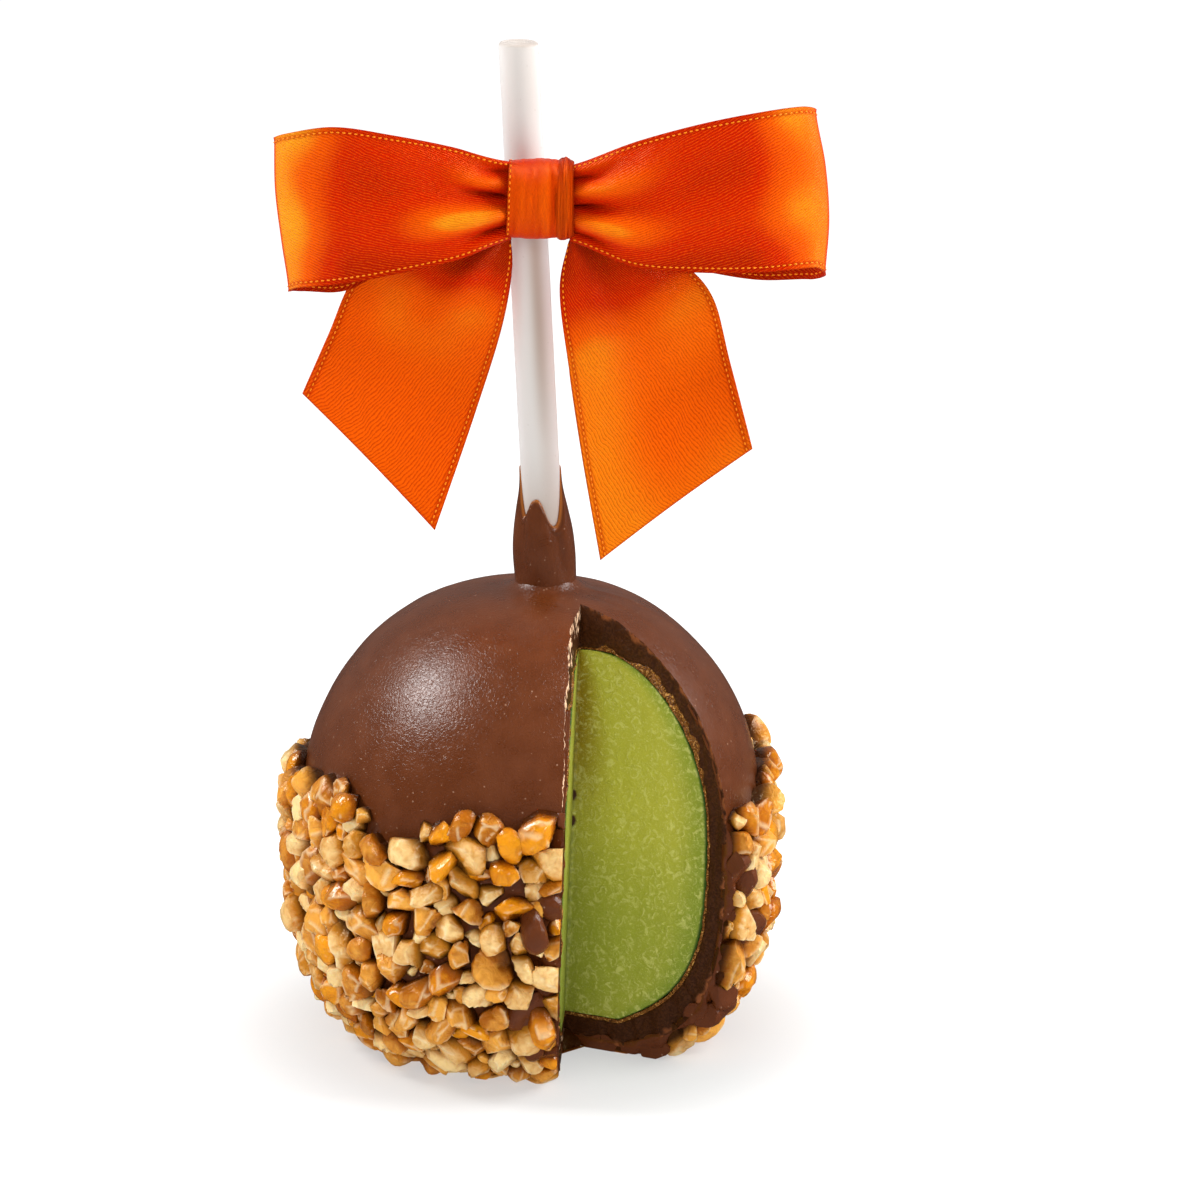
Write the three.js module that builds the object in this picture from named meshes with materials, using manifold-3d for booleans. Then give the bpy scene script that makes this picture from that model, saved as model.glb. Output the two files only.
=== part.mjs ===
// Caramel apple on a paper stick, with a wedge cut out of it and a satin bow on the stick.
// Millimetres, +Z up. The origin is the centre of the flat underside that the apple stands on,
// -Y is the front, and +X is to the right as seen from the front.

import * as THREE from "three";
import { mergeVertices } from "three/addons/utils/BufferGeometryUtils.js";
import Module from "manifold-3d";

// Driving dimensions.

const AROUND = 32; // facets round the apple
const UP = 14; // facets from pole to pole
const GAP = 0.3; // clearance between neighbouring solids
const HALF_TURN = Math.PI;
const FULL_TURN = 2 * Math.PI;

const CENTRE = 46; // height of the apple's centre over the floor

// Each layer is a rounded body: its widest radius, its half heights over and under the centre,
// how square the under half is, where its underside is cut flat, and the dimple at the stick.
const FLESH = { radius: 39.9, over: 40.3, under: 39.5, square: 3.3, flat: 39.2, dimple: 10, mouth: 16.2 };
const CARAMEL = { radius: 41.1, over: 41.9, under: 41.4, square: 3.35, flat: 41, dimple: 7.5, mouth: 16 };
const CHOCOLATE = { radius: 43.9, over: 44.9, under: 46, square: 3.4, flat: 44.6, dimple: 2.5, mouth: 14.4 };
const NUTS = { radius: 47.5, over: 47.5, under: 49.6, square: 3, flat: CENTRE, dimple: 0, mouth: 1 };

const NUT_FACETS = 52;
const NUT_SWELL = 0.8; // how far the heap of nuts swells and sinks
const NUT_LOBES = [9, 5]; // how often it does so round the apple, in two crossed patterns
const NUT_TWIST = [0.35, -0.22]; // how far the patterns turn with height, in radians a millimetre
const NUT_FOOT = [1, 8]; // heights over the floor between which the swelling sets in
const NUT_LINE = 12.2; // height over the centre that the nuts reach
const NUT_LINE_WAVE = 1.1;
const NUT_LINE_LOBES = [7, 3];
const NUT_CROWN = 0.02; // share of the body's own rise that is left over that line
const NUT_SHOULDER = 9; // how far under that line the heap starts to narrow
const NUT_TAPER = 0.035; // share of its radius that it loses there

const STICK_RADIUS = 3.7;
const STICK_RIM = 0.7;
const STICK_FOOT = 48; // height of the stick's lower end
const STICK_TOP = 192.8;
const STICK_SLOPE = 0.0465; // sideways run for each millimetre of height, towards -X
const STICK_LEAN = Math.atan(STICK_SLOPE);
const STICK_MID_X = 3.06; // where the stick's axis passes through the crown
const CROWN = 88;
const STICK_FACETS = 20;

const COLLAR_FACETS = 48;
const COLLAR_FOOT = 84;
const COLLAR_RADII = [6.6, 6.0, 5.75, 5.45, 4.75, 4.2, 4.1]; // from the foot to the tips
const COLLAR_REACH = 28.5; // height of the collar from its foot to its highest tip
// Height of the collar's torn edge, by the angle round the stick from the front towards +X.
const COLLAR_EDGE = [
  [-90, 112.4], [-58, 103.7], [-23, 106.6], [38, 101.4],
  [90, 112.4], [128, 103], [180, 107], [232, 103.5],
];

const WEDGE_APEX = [7.87, -9.35]; // the corner of the cut, in plan at the centre's height
const WEDGE_LEFT = -3.3; // directions of its two faces, in degrees from the front towards +X
const WEDGE_RIGHT = 62.5;
const WEDGE_REACH = 85;
const WEDGE_LEAN = Math.atan(0.038);

const RIBBON = 1.0; // thickness of the ribbon's solids
const BOW_HEIGHT = 165.05;
const BOW_X = 1.9;
const BOW_Y = -8.6;
const KNOT_FACETS = 24;
const KNOT_HALF_DEPTH = 4.4;
const KNOT_HALF_HEIGHT = 7.45;
const KNOT_ENDS = [-5.8, 6.3];
// Roundness of the knot from its left end to its right end, with the groove of its second fold.
const KNOT_FORM = [0.93, 0.98, 1, 1, 0.99, 0.95, 0.93, 0.9, 0.85];

const LOOP_SPREAD = 8; // how far a loop's two layers stand apart
const LOOP_ROOT = 1.1;
const LOOP_START = 0.35; // where on its round a loop leaves the knot, in radians
const LOOP_TURN = [0.42, 0.58]; // shares of its length between which it turns from its front to its back
const LOOP_GRID = [24, 5]; // facets along a loop and across it
// Heights of each loop's edges from the knot to its outer end, and the reach of that end.
const LOOPS = {
  left: {
    side: -1, start: 6.2, reach: [48.4, 48.4, 47.4, 46.2],
    frontTop: [172, 174.7, 177.3, 178.8, 177.5],
    frontBottom: [157.8, 154.6, 152.4, 150.6, 148.2],
    backTop: [171, 172, 174, 175, 177.3],
    backBottom: [158, 153.6, 149.6, 145.2, 147.2],
  },
  right: {
    side: 1, start: 6.7, reach: [50.7, 52.6, 53.4, 52.8],
    frontTop: [171.4, 176.2, 179.7, 182, 182],
    frontBottom: [157.4, 153.2, 152.4, 152.2, 152.2],
    backTop: [170.5, 174, 177, 178.6, 181],
    backBottom: [157.6, 153, 150.3, 148.4, 149.2],
  },
};

// The tails' outer and inner edges, as x and z from the knot to the cut end.
const TAILS = {
  left: {
    side: -1,
    outer: [[-9, 165], [-24, 158], [-34.2, 149], [-39.2, 138.6], [-44.1, 128.3]],
    inner: [[-5.2, 156.6], [-5.1, 150.5], [-7.3, 139], [-12.6, 122], [-19.7, 102]],
  },
  right: {
    side: 1,
    outer: [[9, 165], [23.9, 153.6], [32, 145.5], [35.7, 132.5], [39.7, 117.5]],
    inner: [[5.6, 156.6], [3.8, 147.5], [5.4, 133], [8, 115], [11.3, 96.1]],
  },
};
const TAIL_BEHIND = 1.7; // how far a tail lies behind its loop's back layer
const TAIL_CLEAR = 0.62; // share of the way down where a tail is clear of its loop
const TAIL_FRONT = -8.5; // where the tails hang, once clear of the loops
const TAIL_BELLY = 1.5; // how far a tail's middle bends back at its cut end
const TAIL_SHELTER = 0.67; // share of a loop's reach up to which its tail follows it outwards
const TAIL_GRID = [10, 6];

const STRAP_INNER = 4.3;
const STRAP_OUTER = 5.2;
const STRAP_HEIGHT = 9;
const STRAP_MOUTH = 0.95; // half of the strap's open angle, in radians
const STRAP_FACETS = 16;

// Looks of the pieces, for the views of this file alone.

const material = (color, roughness) => new THREE.MeshStandardMaterial({ color, roughness, metalness: 0 });
const GREEN_FLESH = material(0xa5aa46, 0.45);
const AMBER_CARAMEL = material(0xa8651f, 0.3);
const MILK_CHOCOLATE = material(0x734834, 0.4);
const CHOPPED_NUTS = material(0xcf9a55, 0.55);
const WHITE_PAPER = material(0xefece6, 0.7);
const ORANGE_SATIN = material(0xe14b00, 0.35);

// Booleans.

const wasm = await Module();
wasm.setup();

/** Turns a closed geometry into a solid that can be joined and cut. */
function solid(geometry) {
  const bare = new THREE.BufferGeometry();
  bare.setAttribute("position", geometry.getAttribute("position").clone());
  if (geometry.index) bare.setIndex(geometry.index.clone());
  const merged = mergeVertices(bare, 1e-5);
  const corners = merged.index.array;
  const faces = [];
  for (let i = 0; i < corners.length; i += 3) {
    const [a, b, c] = [corners[i], corners[i + 1], corners[i + 2]];
    if (a !== b && b !== c && c !== a) faces.push(a, b, c);
  }
  const vertProperties = new Float32Array(merged.getAttribute("position").array);
  return new wasm.Manifold(new wasm.Mesh({ numProp: 3, vertProperties, triVerts: new Uint32Array(faces) }));
}

/** Gives a solid back as a geometry. */
function geometryOf(body) {
  const mesh = body.getMesh();
  const geometry = new THREE.BufferGeometry();
  geometry.setAttribute("position", new THREE.BufferAttribute(mesh.vertProperties, 3));
  geometry.setIndex(new THREE.BufferAttribute(mesh.triVerts, 1));
  geometry.computeVertexNormals();
  return geometry;
}

// Curves and surfaces.

/** A point at a share from 0 to 1 of the way along a smooth curve through points in a plane. */
function onCurve(points, share) {
  const curve = new THREE.SplineCurve(points.map((p) => new THREE.Vector2(...p)));
  return curve.getPoint(THREE.MathUtils.clamp(share, 0, 1));
}

/** A smooth value at a share from 0 to 1 of the way along evenly spaced values. */
const along = (values, share) => onCurve(values.map((value, i) => [i, value]), share).y;

/** Eases from 0 to 1 while x goes from a to b. */
const ease = (x, a, b) => THREE.MathUtils.smoothstep(x, a, b);

/** Moves every vertex of a geometry by a function of its position. */
function bend(geometry, move) {
  const position = geometry.getAttribute("position");
  const point = new THREE.Vector3();
  for (let i = 0; i < position.count; i += 1) {
    point.fromBufferAttribute(position, i);
    move(point);
    position.setXYZ(i, point.x, point.y, point.z);
  }
  return geometry;
}

/** Revolves a profile of radius and height about +Z, from its lower end on the axis to its upper end. */
function turned(profile, facets) {
  return new THREE.LatheGeometry(profile, facets).rotateX(HALF_TURN / 2);
}

/** The profile of a layer of the apple, grown outwards by a clearance. */
function layerProfile(layer, grow = 0) {
  const profile = [];
  for (let row = 0; row <= UP; row += 1) {
    const angle = HALF_TURN * (row / UP - 0.5);
    const power = angle < 0 ? 2 / layer.square : 1;
    const half = angle < 0 ? layer.under : layer.over;
    const across = row % UP === 0 ? 0 : Math.cos(angle) ** power;
    const radius = (layer.radius + grow) * across;
    const rise = Math.sign(angle) * Math.abs(Math.sin(angle)) ** power * (half + grow);
    const height = rise - layer.dimple * Math.exp(-((radius / layer.mouth) ** 2));
    profile.push(new THREE.Vector2(radius, CENTRE + Math.max(height, -layer.flat - grow)));
  }
  return profile;
}

/** The round body inside a layer's outer surface. */
const layerBody = (layer, grow = 0) => solid(turned(layerProfile(layer, grow), AROUND));

/** A closed strip of even thickness about the surface that point(u, v) gives, u and v from 0 to 1. */
function strip(columns, rows, point, thickness) {
  const step = 1e-3;
  const front = [];
  const back = [];
  for (let i = 0; i <= columns; i += 1) {
    for (let j = 0; j <= rows; j += 1) {
      const [u, v] = [i / columns, j / rows];
      const here = point(u, v);
      const alongU = point(u + step, v).sub(point(u - step, v));
      const alongV = point(u, v + step).sub(point(u, v - step));
      const offset = alongU.cross(alongV).normalize().multiplyScalar(thickness / 2);
      front.push(here.clone().add(offset));
      back.push(here.clone().sub(offset));
    }
  }
  const count = front.length;
  const at = (i, j) => i * (rows + 1) + j;
  const faces = [];
  const quad = (a, b, c, d) => faces.push(a, b, c, a, c, d);
  for (let i = 0; i < columns; i += 1) {
    for (let j = 0; j < rows; j += 1) {
      quad(at(i, j), at(i + 1, j), at(i + 1, j + 1), at(i, j + 1));
      quad(count + at(i, j), count + at(i, j + 1), count + at(i + 1, j + 1), count + at(i + 1, j));
    }
    quad(at(i, 0), count + at(i, 0), count + at(i + 1, 0), at(i + 1, 0));
    quad(at(i, rows), at(i + 1, rows), count + at(i + 1, rows), count + at(i, rows));
  }
  for (let j = 0; j < rows; j += 1) {
    quad(at(0, j), at(0, j + 1), count + at(0, j + 1), count + at(0, j));
    quad(at(columns, j), count + at(columns, j), count + at(columns, j + 1), at(columns, j + 1));
  }
  const geometry = new THREE.BufferGeometry().setFromPoints([...front, ...back]);
  geometry.setIndex(faces);
  geometry.computeVertexNormals();
  return geometry;
}

// The stick and what is cut for it.

/** Leans a geometry made upright about the z axis, so that its axis is the stick's. */
function leaned(geometry) {
  return geometry.rotateY(-STICK_LEAN).translate(stickX(0), 0, 0);
}

/** Where the stick's axis is at a height. */
function stickX(height) {
  return STICK_MID_X - STICK_SLOPE * (height - CROWN);
}

/** The paper stick: a solid rod with a rounded rim at both ends. */
function stick() {
  const rim = (end, inwards) => [30, 60, 90].map((degrees) => {
    const angle = THREE.MathUtils.degToRad(inwards > 0 ? degrees : 90 - (degrees - 30));
    const radius = STICK_RADIUS - STICK_RIM * (1 - Math.sin(angle));
    return new THREE.Vector2(radius, end + inwards * STICK_RIM * (1 - Math.cos(angle)));
  });
  const [low, high] = [new THREE.Vector2(0, STICK_FOOT), new THREE.Vector2(0, STICK_TOP)];
  const profile = [low, ...rim(STICK_FOOT, 1), ...rim(STICK_TOP, -1), high];
  return leaned(turned(profile, STICK_FACETS));
}

/** The hole that the stick sits in. */
function stickHole() {
  const length = STICK_TOP - STICK_FOOT;
  const rod = new THREE.CylinderGeometry(STICK_RADIUS + GAP, STICK_RADIUS + GAP, length, STICK_FACETS);
  rod.rotateX(HALF_TURN / 2).translate(0, 0, STICK_FOOT + length / 2 - GAP);
  return solid(leaned(rod));
}

/** Height of the collar's torn edge at an angle round the stick, in degrees from the front. */
function collarEdge(degrees) {
  const wrapped = THREE.MathUtils.euclideanModulo(degrees + 90, 360) - 90;
  const edge = [...COLLAR_EDGE, [COLLAR_EDGE[0][0] + 360, COLLAR_EDGE[0][1]]];
  const next = edge.findIndex(([angle]) => angle > wrapped);
  const [[a, low], [b, high]] = [edge[next - 1], edge[next]];
  return THREE.MathUtils.lerp(low, high, ease(wrapped, a, b));
}

/** The sleeve of chocolate that climbs the stick, thick at its foot and torn into tongues at its edge. */
function collar() {
  const inner = STICK_RADIUS - 1;
  const levels = COLLAR_RADII.length;
  const section = (degrees) => {
    const top = collarEdge(degrees);
    const outside = COLLAR_RADII.map((_, k) => {
      const height = THREE.MathUtils.lerp(COLLAR_FOOT, top, k / (levels - 1));
      const share = (height - COLLAR_FOOT) / COLLAR_REACH;
      return [along(COLLAR_RADII, share), height];
    });
    return [[inner, COLLAR_FOOT], ...outside, [inner, top]];
  };
  const size = levels + 2;
  const points = [];
  const faces = [];
  for (let i = 0; i < COLLAR_FACETS; i += 1) {
    const degrees = (360 * i) / COLLAR_FACETS;
    const angle = THREE.MathUtils.degToRad(degrees - 90);
    const [cos, sin] = [Math.cos(angle), Math.sin(angle)];
    section(degrees).forEach(([r, z]) => points.push(new THREE.Vector3(r * cos, r * sin, z)));
    const next = (i + 1) % COLLAR_FACETS;
    for (let k = 0; k < size; k += 1) {
      const [a, b] = [i * size + k, next * size + k];
      const [c, d] = [next * size + ((k + 1) % size), i * size + ((k + 1) % size)];
      faces.push(a, b, c, a, c, d);
    }
  }
  const geometry = new THREE.BufferGeometry().setFromPoints(points);
  geometry.setIndex(faces);
  return solid(leaned(geometry));
}

// The apple and its coats.

/** The wedge that was cut out, as a solid to take away. */
function wedge() {
  const [x, y] = WEDGE_APEX;
  const far = (degrees) => {
    const angle = THREE.MathUtils.degToRad(degrees);
    return [x + WEDGE_REACH * Math.sin(angle), y - WEDGE_REACH * Math.cos(angle)];
  };
  const corners = [[x, y], far(WEDGE_LEFT), far(WEDGE_RIGHT)];
  const outline = new THREE.Shape(corners.map((p) => new THREE.Vector2(...p)));
  const prism = new THREE.ExtrudeGeometry(outline, { depth: 4 * CENTRE, bevelEnabled: false });
  return solid(prism.translate(0, 0, -2 * CENTRE).rotateY(WEDGE_LEAN).translate(0, 0, CENTRE));
}

/** The heap of chopped nuts over the lower half, out to its uneven outline. */
function nutBody() {
  const body = turned(layerProfile(NUTS), NUT_FACETS);
  bend(body, (p) => {
    const angle = Math.atan2(p.y, p.x);
    const height = p.z - CENTRE;
    const [first, second] = NUT_LOBES.map((lobes, k) => lobes * angle + NUT_TWIST[k] * height);
    const swell = NUT_SWELL * ease(p.z, ...NUT_FOOT) * Math.sin(first) * Math.cos(second);
    const narrowed = 1 - NUT_TAPER * ease(height, NUT_LINE - NUT_SHOULDER, NUT_LINE);
    const scale = (1 + swell / NUTS.radius) * narrowed;
    p.x *= scale;
    p.y *= scale;
    const [wave, beat] = NUT_LINE_LOBES.map((lobes) => lobes * angle);
    const line = NUT_LINE + NUT_LINE_WAVE * Math.sin(wave + 1) * Math.cos(beat);
    if (height > line) p.z = CENTRE + line + NUT_CROWN * (height - line);
  });
  return solid(body);
}

const notch = wedge();
const hole = stickHole();

const flesh = () => layerBody(FLESH).subtract(notch).subtract(hole);

const caramel = () => layerBody(CARAMEL).subtract(layerBody(FLESH, GAP)).subtract(notch).subtract(hole);

const chocolate = () => {
  const dipped = layerBody(CHOCOLATE).add(collar());
  return dipped.subtract(layerBody(CARAMEL, GAP)).subtract(notch).subtract(hole);
};

const nutCoat = () => nutBody().subtract(layerBody(CHOCOLATE, GAP)).subtract(notch);

// The bow.

/** How far a loop's layer stands from the bow's plane, at a share of the way out. */
const loopDepth = (share) => Math.sqrt(1 - share) * (LOOP_ROOT + 2 * LOOP_SPREAD * share);

/** A loop of ribbon: out from the knot in front, round its end and back behind. */
function loop({ side, start, reach, frontTop, frontBottom, backTop, backBottom }) {
  const point = (u, v) => {
    const angle = THREE.MathUtils.lerp(LOOP_START, FULL_TURN - LOOP_START, u);
    const share = (Math.cos(LOOP_START) - Math.cos(angle)) / (Math.cos(LOOP_START) + 1);
    const behind = ease(u, ...LOOP_TURN);
    const top = THREE.MathUtils.lerp(along(frontTop, share), along(backTop, share), behind);
    const bottom = THREE.MathUtils.lerp(along(frontBottom, share), along(backBottom, share), behind);
    const x = THREE.MathUtils.lerp(start, along(reach, v), share);
    const depth = Math.sign(0.5 - u) * loopDepth(Math.min(share, 1));
    return new THREE.Vector3(BOW_X + side * x, BOW_Y - depth, THREE.MathUtils.lerp(top, bottom, v));
  };
  return strip(...LOOP_GRID, side < 0 ? (u, v) => point(u, 1 - v) : point, RIBBON);
}

/** A tail of ribbon: fanned out behind its loop, then hanging free to its slanted cut. */
function tail({ side, outer, inner }) {
  const { start, reach } = side < 0 ? LOOPS.left : LOOPS.right;
  const point = (u, v) => {
    const across = onCurve(outer, u).lerp(onCurve(inner, u), v);
    const share = THREE.MathUtils.clamp((Math.abs(across.x) - start) / (reach[0] - start), 0, TAIL_SHELTER);
    const behind = BOW_Y + loopDepth(share) + TAIL_BEHIND;
    const free = TAIL_FRONT + TAIL_BELLY * Math.sin(HALF_TURN * v) * u;
    const y = THREE.MathUtils.lerp(behind, free, ease(u, TAIL_CLEAR, 1));
    return new THREE.Vector3(BOW_X + across.x, y, across.y);
  };
  return strip(...TAIL_GRID, side < 0 ? point : (u, v) => point(u, 1 - v), RIBBON);
}

/** The knot: a barrel of ribbon across the bow's middle, with the groove of its second fold. */
function knot() {
  const [left, right] = KNOT_ENDS;
  const steps = KNOT_FORM.length - 1;
  const place = (k) => THREE.MathUtils.lerp(left, right, k / steps);
  const rim = KNOT_FORM.map((form, k) => new THREE.Vector2(form, place(k)));
  const profile = [new THREE.Vector2(0, left), ...rim, new THREE.Vector2(0, right)];
  const barrel = turned(profile, KNOT_FACETS).rotateY(HALF_TURN / 2);
  return barrel.scale(1, KNOT_HALF_DEPTH, KNOT_HALF_HEIGHT).translate(BOW_X, BOW_Y, BOW_HEIGHT);
}

/** The strap that holds the bow: a band round the back of the stick, open towards the knot. */
function strap() {
  const band = new THREE.Shape();
  const front = -HALF_TURN / 2;
  band.absarc(0, 0, STRAP_OUTER, front + STRAP_MOUTH, front - STRAP_MOUTH + FULL_TURN, false);
  band.absarc(0, 0, STRAP_INNER, front - STRAP_MOUTH + FULL_TURN, front + STRAP_MOUTH, true);
  band.closePath();
  const options = { depth: STRAP_HEIGHT, bevelEnabled: false, curveSegments: STRAP_FACETS };
  const ring = new THREE.ExtrudeGeometry(band, options);
  return leaned(ring.translate(0, 0, BOW_HEIGHT - STRAP_HEIGHT / 2));
}

// The scene.

const group = new THREE.Group();

/** Adds one piece under its name. */
function add(name, geometry, look) {
  const mesh = new THREE.Mesh(geometry, look);
  mesh.name = name;
  group.add(mesh);
}

add("apple", geometryOf(flesh()), GREEN_FLESH);
add("caramel", geometryOf(caramel()), AMBER_CARAMEL);
add("chocolate", geometryOf(chocolate()), MILK_CHOCOLATE);
add("nut_coat", geometryOf(nutCoat()), CHOPPED_NUTS);
add("stick", stick(), WHITE_PAPER);
add("ribbon_knot", knot(), ORANGE_SATIN);
add("ribbon_strap", strap(), ORANGE_SATIN);
for (const [name, sizes] of Object.entries(LOOPS)) add(`ribbon_loop_${name}`, loop(sizes), ORANGE_SATIN);
for (const [name, sizes] of Object.entries(TAILS)) add(`ribbon_tail_${name}`, tail(sizes), ORANGE_SATIN);

export default group;
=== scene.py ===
"""Looks of a caramel apple: chocolate over caramel, chopped nuts, a cut wedge, a paper stick and a bow."""

from __future__ import annotations

import itertools
import logging
import math
from dataclasses import dataclass, field
from enum import Enum

import bmesh
import bpy
import numpy as np
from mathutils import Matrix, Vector


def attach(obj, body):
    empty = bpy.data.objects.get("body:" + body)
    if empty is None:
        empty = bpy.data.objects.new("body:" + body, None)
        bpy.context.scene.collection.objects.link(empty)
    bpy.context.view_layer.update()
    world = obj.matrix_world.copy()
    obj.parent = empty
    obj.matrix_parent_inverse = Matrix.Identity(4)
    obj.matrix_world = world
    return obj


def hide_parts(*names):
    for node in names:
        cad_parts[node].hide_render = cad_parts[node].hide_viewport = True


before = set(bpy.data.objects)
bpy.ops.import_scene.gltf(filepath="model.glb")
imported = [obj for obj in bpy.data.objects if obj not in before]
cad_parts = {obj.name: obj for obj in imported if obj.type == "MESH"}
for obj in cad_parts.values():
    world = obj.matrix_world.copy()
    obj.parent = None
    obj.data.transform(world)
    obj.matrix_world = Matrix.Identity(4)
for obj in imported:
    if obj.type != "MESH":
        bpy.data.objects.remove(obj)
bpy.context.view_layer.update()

LOG = logging.getLogger("caramel_apple")

MM = 0.001  # shapes are worked out in millimetres and stored in metres
CENTRE = 46.0  # height of the apple's centre over the floor
BOW_X = 1.9  # where the middle of the bow is across the apple
ROOT = "root"
LATTICE_KEYS = (73856093, 19349663, 83492791)  # they spread a lattice corner's place into one number
SEED_KEY = 2654435761
SCRAMBLES = ((13, 1274126177), (16, 668265263))  # shift and factor of each scrambling of that number
WELD_GAP = 2e-7  # metres within which a piece's vertices are one
Colour = tuple[float, float, float]
Triple = tuple[float, float, float]


# ---------------------------------------------------------------- numbers and noise


def ease(x: np.ndarray, low: float, high: float) -> np.ndarray:
    """Rises smoothly from 0 to 1 while x goes from low to high: 3t^2 - 2t^3 of the clamped share t."""
    t = np.clip((np.asarray(x, float) - low) / (high - low), 0.0, 1.0)
    return t * t * (3.0 - 2.0 * t)


def mix(a: np.ndarray, b: np.ndarray, t: np.ndarray) -> np.ndarray:
    """The point a share t of the way from a to b."""
    return a + (b - a) * t


def bell(x: np.ndarray, middle: float, width: float) -> np.ndarray:
    """A bell of height one: exp(-((x - middle) / width)^2)."""
    return np.exp(-(((x - middle) / width) ** 2))


def turned(degrees: np.ndarray) -> np.ndarray:
    """The same directions in degrees, from -180 to 180."""
    return (degrees + 180.0) % 360.0 - 180.0


def bearing(points: np.ndarray) -> np.ndarray:
    """Directions of points in plan, in degrees from the front (-Y) towards +X."""
    return np.degrees(np.arctan2(points[..., 0], -points[..., 1]))


def even_grid(rows: int, columns: int) -> tuple[np.ndarray, np.ndarray]:
    """Two even parameters from 0 to 1 over a grid: along the rows, and along the columns."""
    return tuple(np.meshgrid(np.linspace(0, 1, rows), np.linspace(0, 1, columns), indexing="ij"))


def run_length(points: np.ndarray, column: int) -> float:
    """Length of the line that one column of a grid makes."""
    return float(np.linalg.norm(np.diff(points[:, column], axis=0), axis=1).sum())


def along(values: tuple[float, ...], share: np.ndarray) -> np.ndarray:
    """A smooth value through evenly spaced values.

    Each span is the Catmull-Rom cubic of its two ends and their outer neighbours.

    Args:
        values: the evenly spaced values.
        share: where to read, from 0 at the first value to 1 at the last.

    Returns:
        One value for each share.
    """
    knots = np.asarray(values, float)
    place = np.clip(np.asarray(share, float), 0.0, 1.0) * (len(knots) - 1)
    first = np.minimum(place.astype(int), len(knots) - 2)
    t = place - first
    before, after = knots[np.maximum(first - 1, 0)], knots[np.minimum(first + 2, len(knots) - 1)]
    here, there = knots[first], knots[first + 1]
    slope, next_slope = (there - before) / 2, (after - here) / 2
    return (
        (2 * here - 2 * there + slope + next_slope) * t**3
        + (3 * there - 3 * here - 2 * slope - next_slope) * t**2
        + slope * t
        + here
    )


def noise(points: np.ndarray, pitch: float, seed: int) -> np.ndarray:
    """Smooth noise from -1 to 1 over space.

    Every corner of a cubic lattice of the given pitch has a random number, and a point takes the
    eased blend of the eight corners round it.

    Args:
        points: places in millimetres, with three numbers along the last axis.
        pitch: the lattice's spacing in millimetres.
        seed: picks another noise.

    Returns:
        One value for each point.
    """
    cell = np.asarray(points, float) / pitch
    corner = np.floor(cell).astype(np.int64)
    part = cell - corner
    part = part * part * (3.0 - 2.0 * part)
    total = np.zeros(cell.shape[:-1])
    for step in itertools.product((0, 1), repeat=3):
        keys = (corner + np.array(step)) * np.array(LATTICE_KEYS)
        mixed = keys[..., 0] ^ keys[..., 1] ^ keys[..., 2] ^ seed * SEED_KEY
        for shift, factor in SCRAMBLES:
            mixed = (mixed ^ (mixed >> shift)) * factor & 0xFFFFFFFF
        weight = np.prod(np.where(np.array(step) == 1, part, 1.0 - part), axis=-1)
        total += weight * (mixed / 2.0**31 - 1.0)
    return total


def rough(points: np.ndarray, pitch: float, seed: int, octaves: int = 3) -> np.ndarray:
    """Noise with finer noise on it: each octave has half the pitch and half the height of the one before."""
    return sum(noise(points, pitch / 2**k, seed + 101 * k) / 2**k for k in range(octaves))


def unit(vectors: np.ndarray) -> np.ndarray:
    """The vectors at a length of one."""
    return vectors / np.maximum(np.linalg.norm(vectors, axis=-1, keepdims=True), 1e-12)


def grid_normals(points: np.ndarray) -> np.ndarray:
    """Unit normals of a grid of points: the cross product of its two directions' central differences."""
    return unit(np.cross(np.gradient(points, axis=0), np.gradient(points, axis=1)))


# ---------------------------------------------------------------- meshes


@dataclass
class Patch:
    """A grid of points, part of a piece's surface.

    Attributes:
        points: rows by columns by three, in millimetres.
        masks: values over the grid that the finishes read, by name.
        uv: places on the cloth in metres, two for each point, or None.
        look: which of the piece's materials it wears.
        ring: whether the last column joins the first.
    """

    points: np.ndarray
    masks: dict[str, np.ndarray] = field(default_factory=dict)
    uv: np.ndarray | None = None
    look: int = 0
    ring: bool = False

    def quads(self) -> np.ndarray:
        """Corner numbers of the grid's four-sided faces."""
        rows, columns = self.points.shape[:2]
        index = np.arange(rows * columns).reshape(rows, columns)
        if self.ring:
            index = np.concatenate([index, index[:, :1]], axis=1)
        here, right = index[:-1, :-1], index[:-1, 1:]
        above, across = index[1:, :-1], index[1:, 1:]
        return np.stack([here, right, across, above], axis=-1).reshape(-1, 4)


def link(name: str, mesh: bpy.types.Mesh) -> bpy.types.Object:
    """Puts a mesh into the scene, as an object at the origin.

    Args:
        name: the object's name.
        mesh: its mesh.

    Returns:
        The object.
    """
    piece = bpy.data.objects.new(name, mesh)
    bpy.context.scene.collection.objects.link(piece)
    return piece


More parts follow.
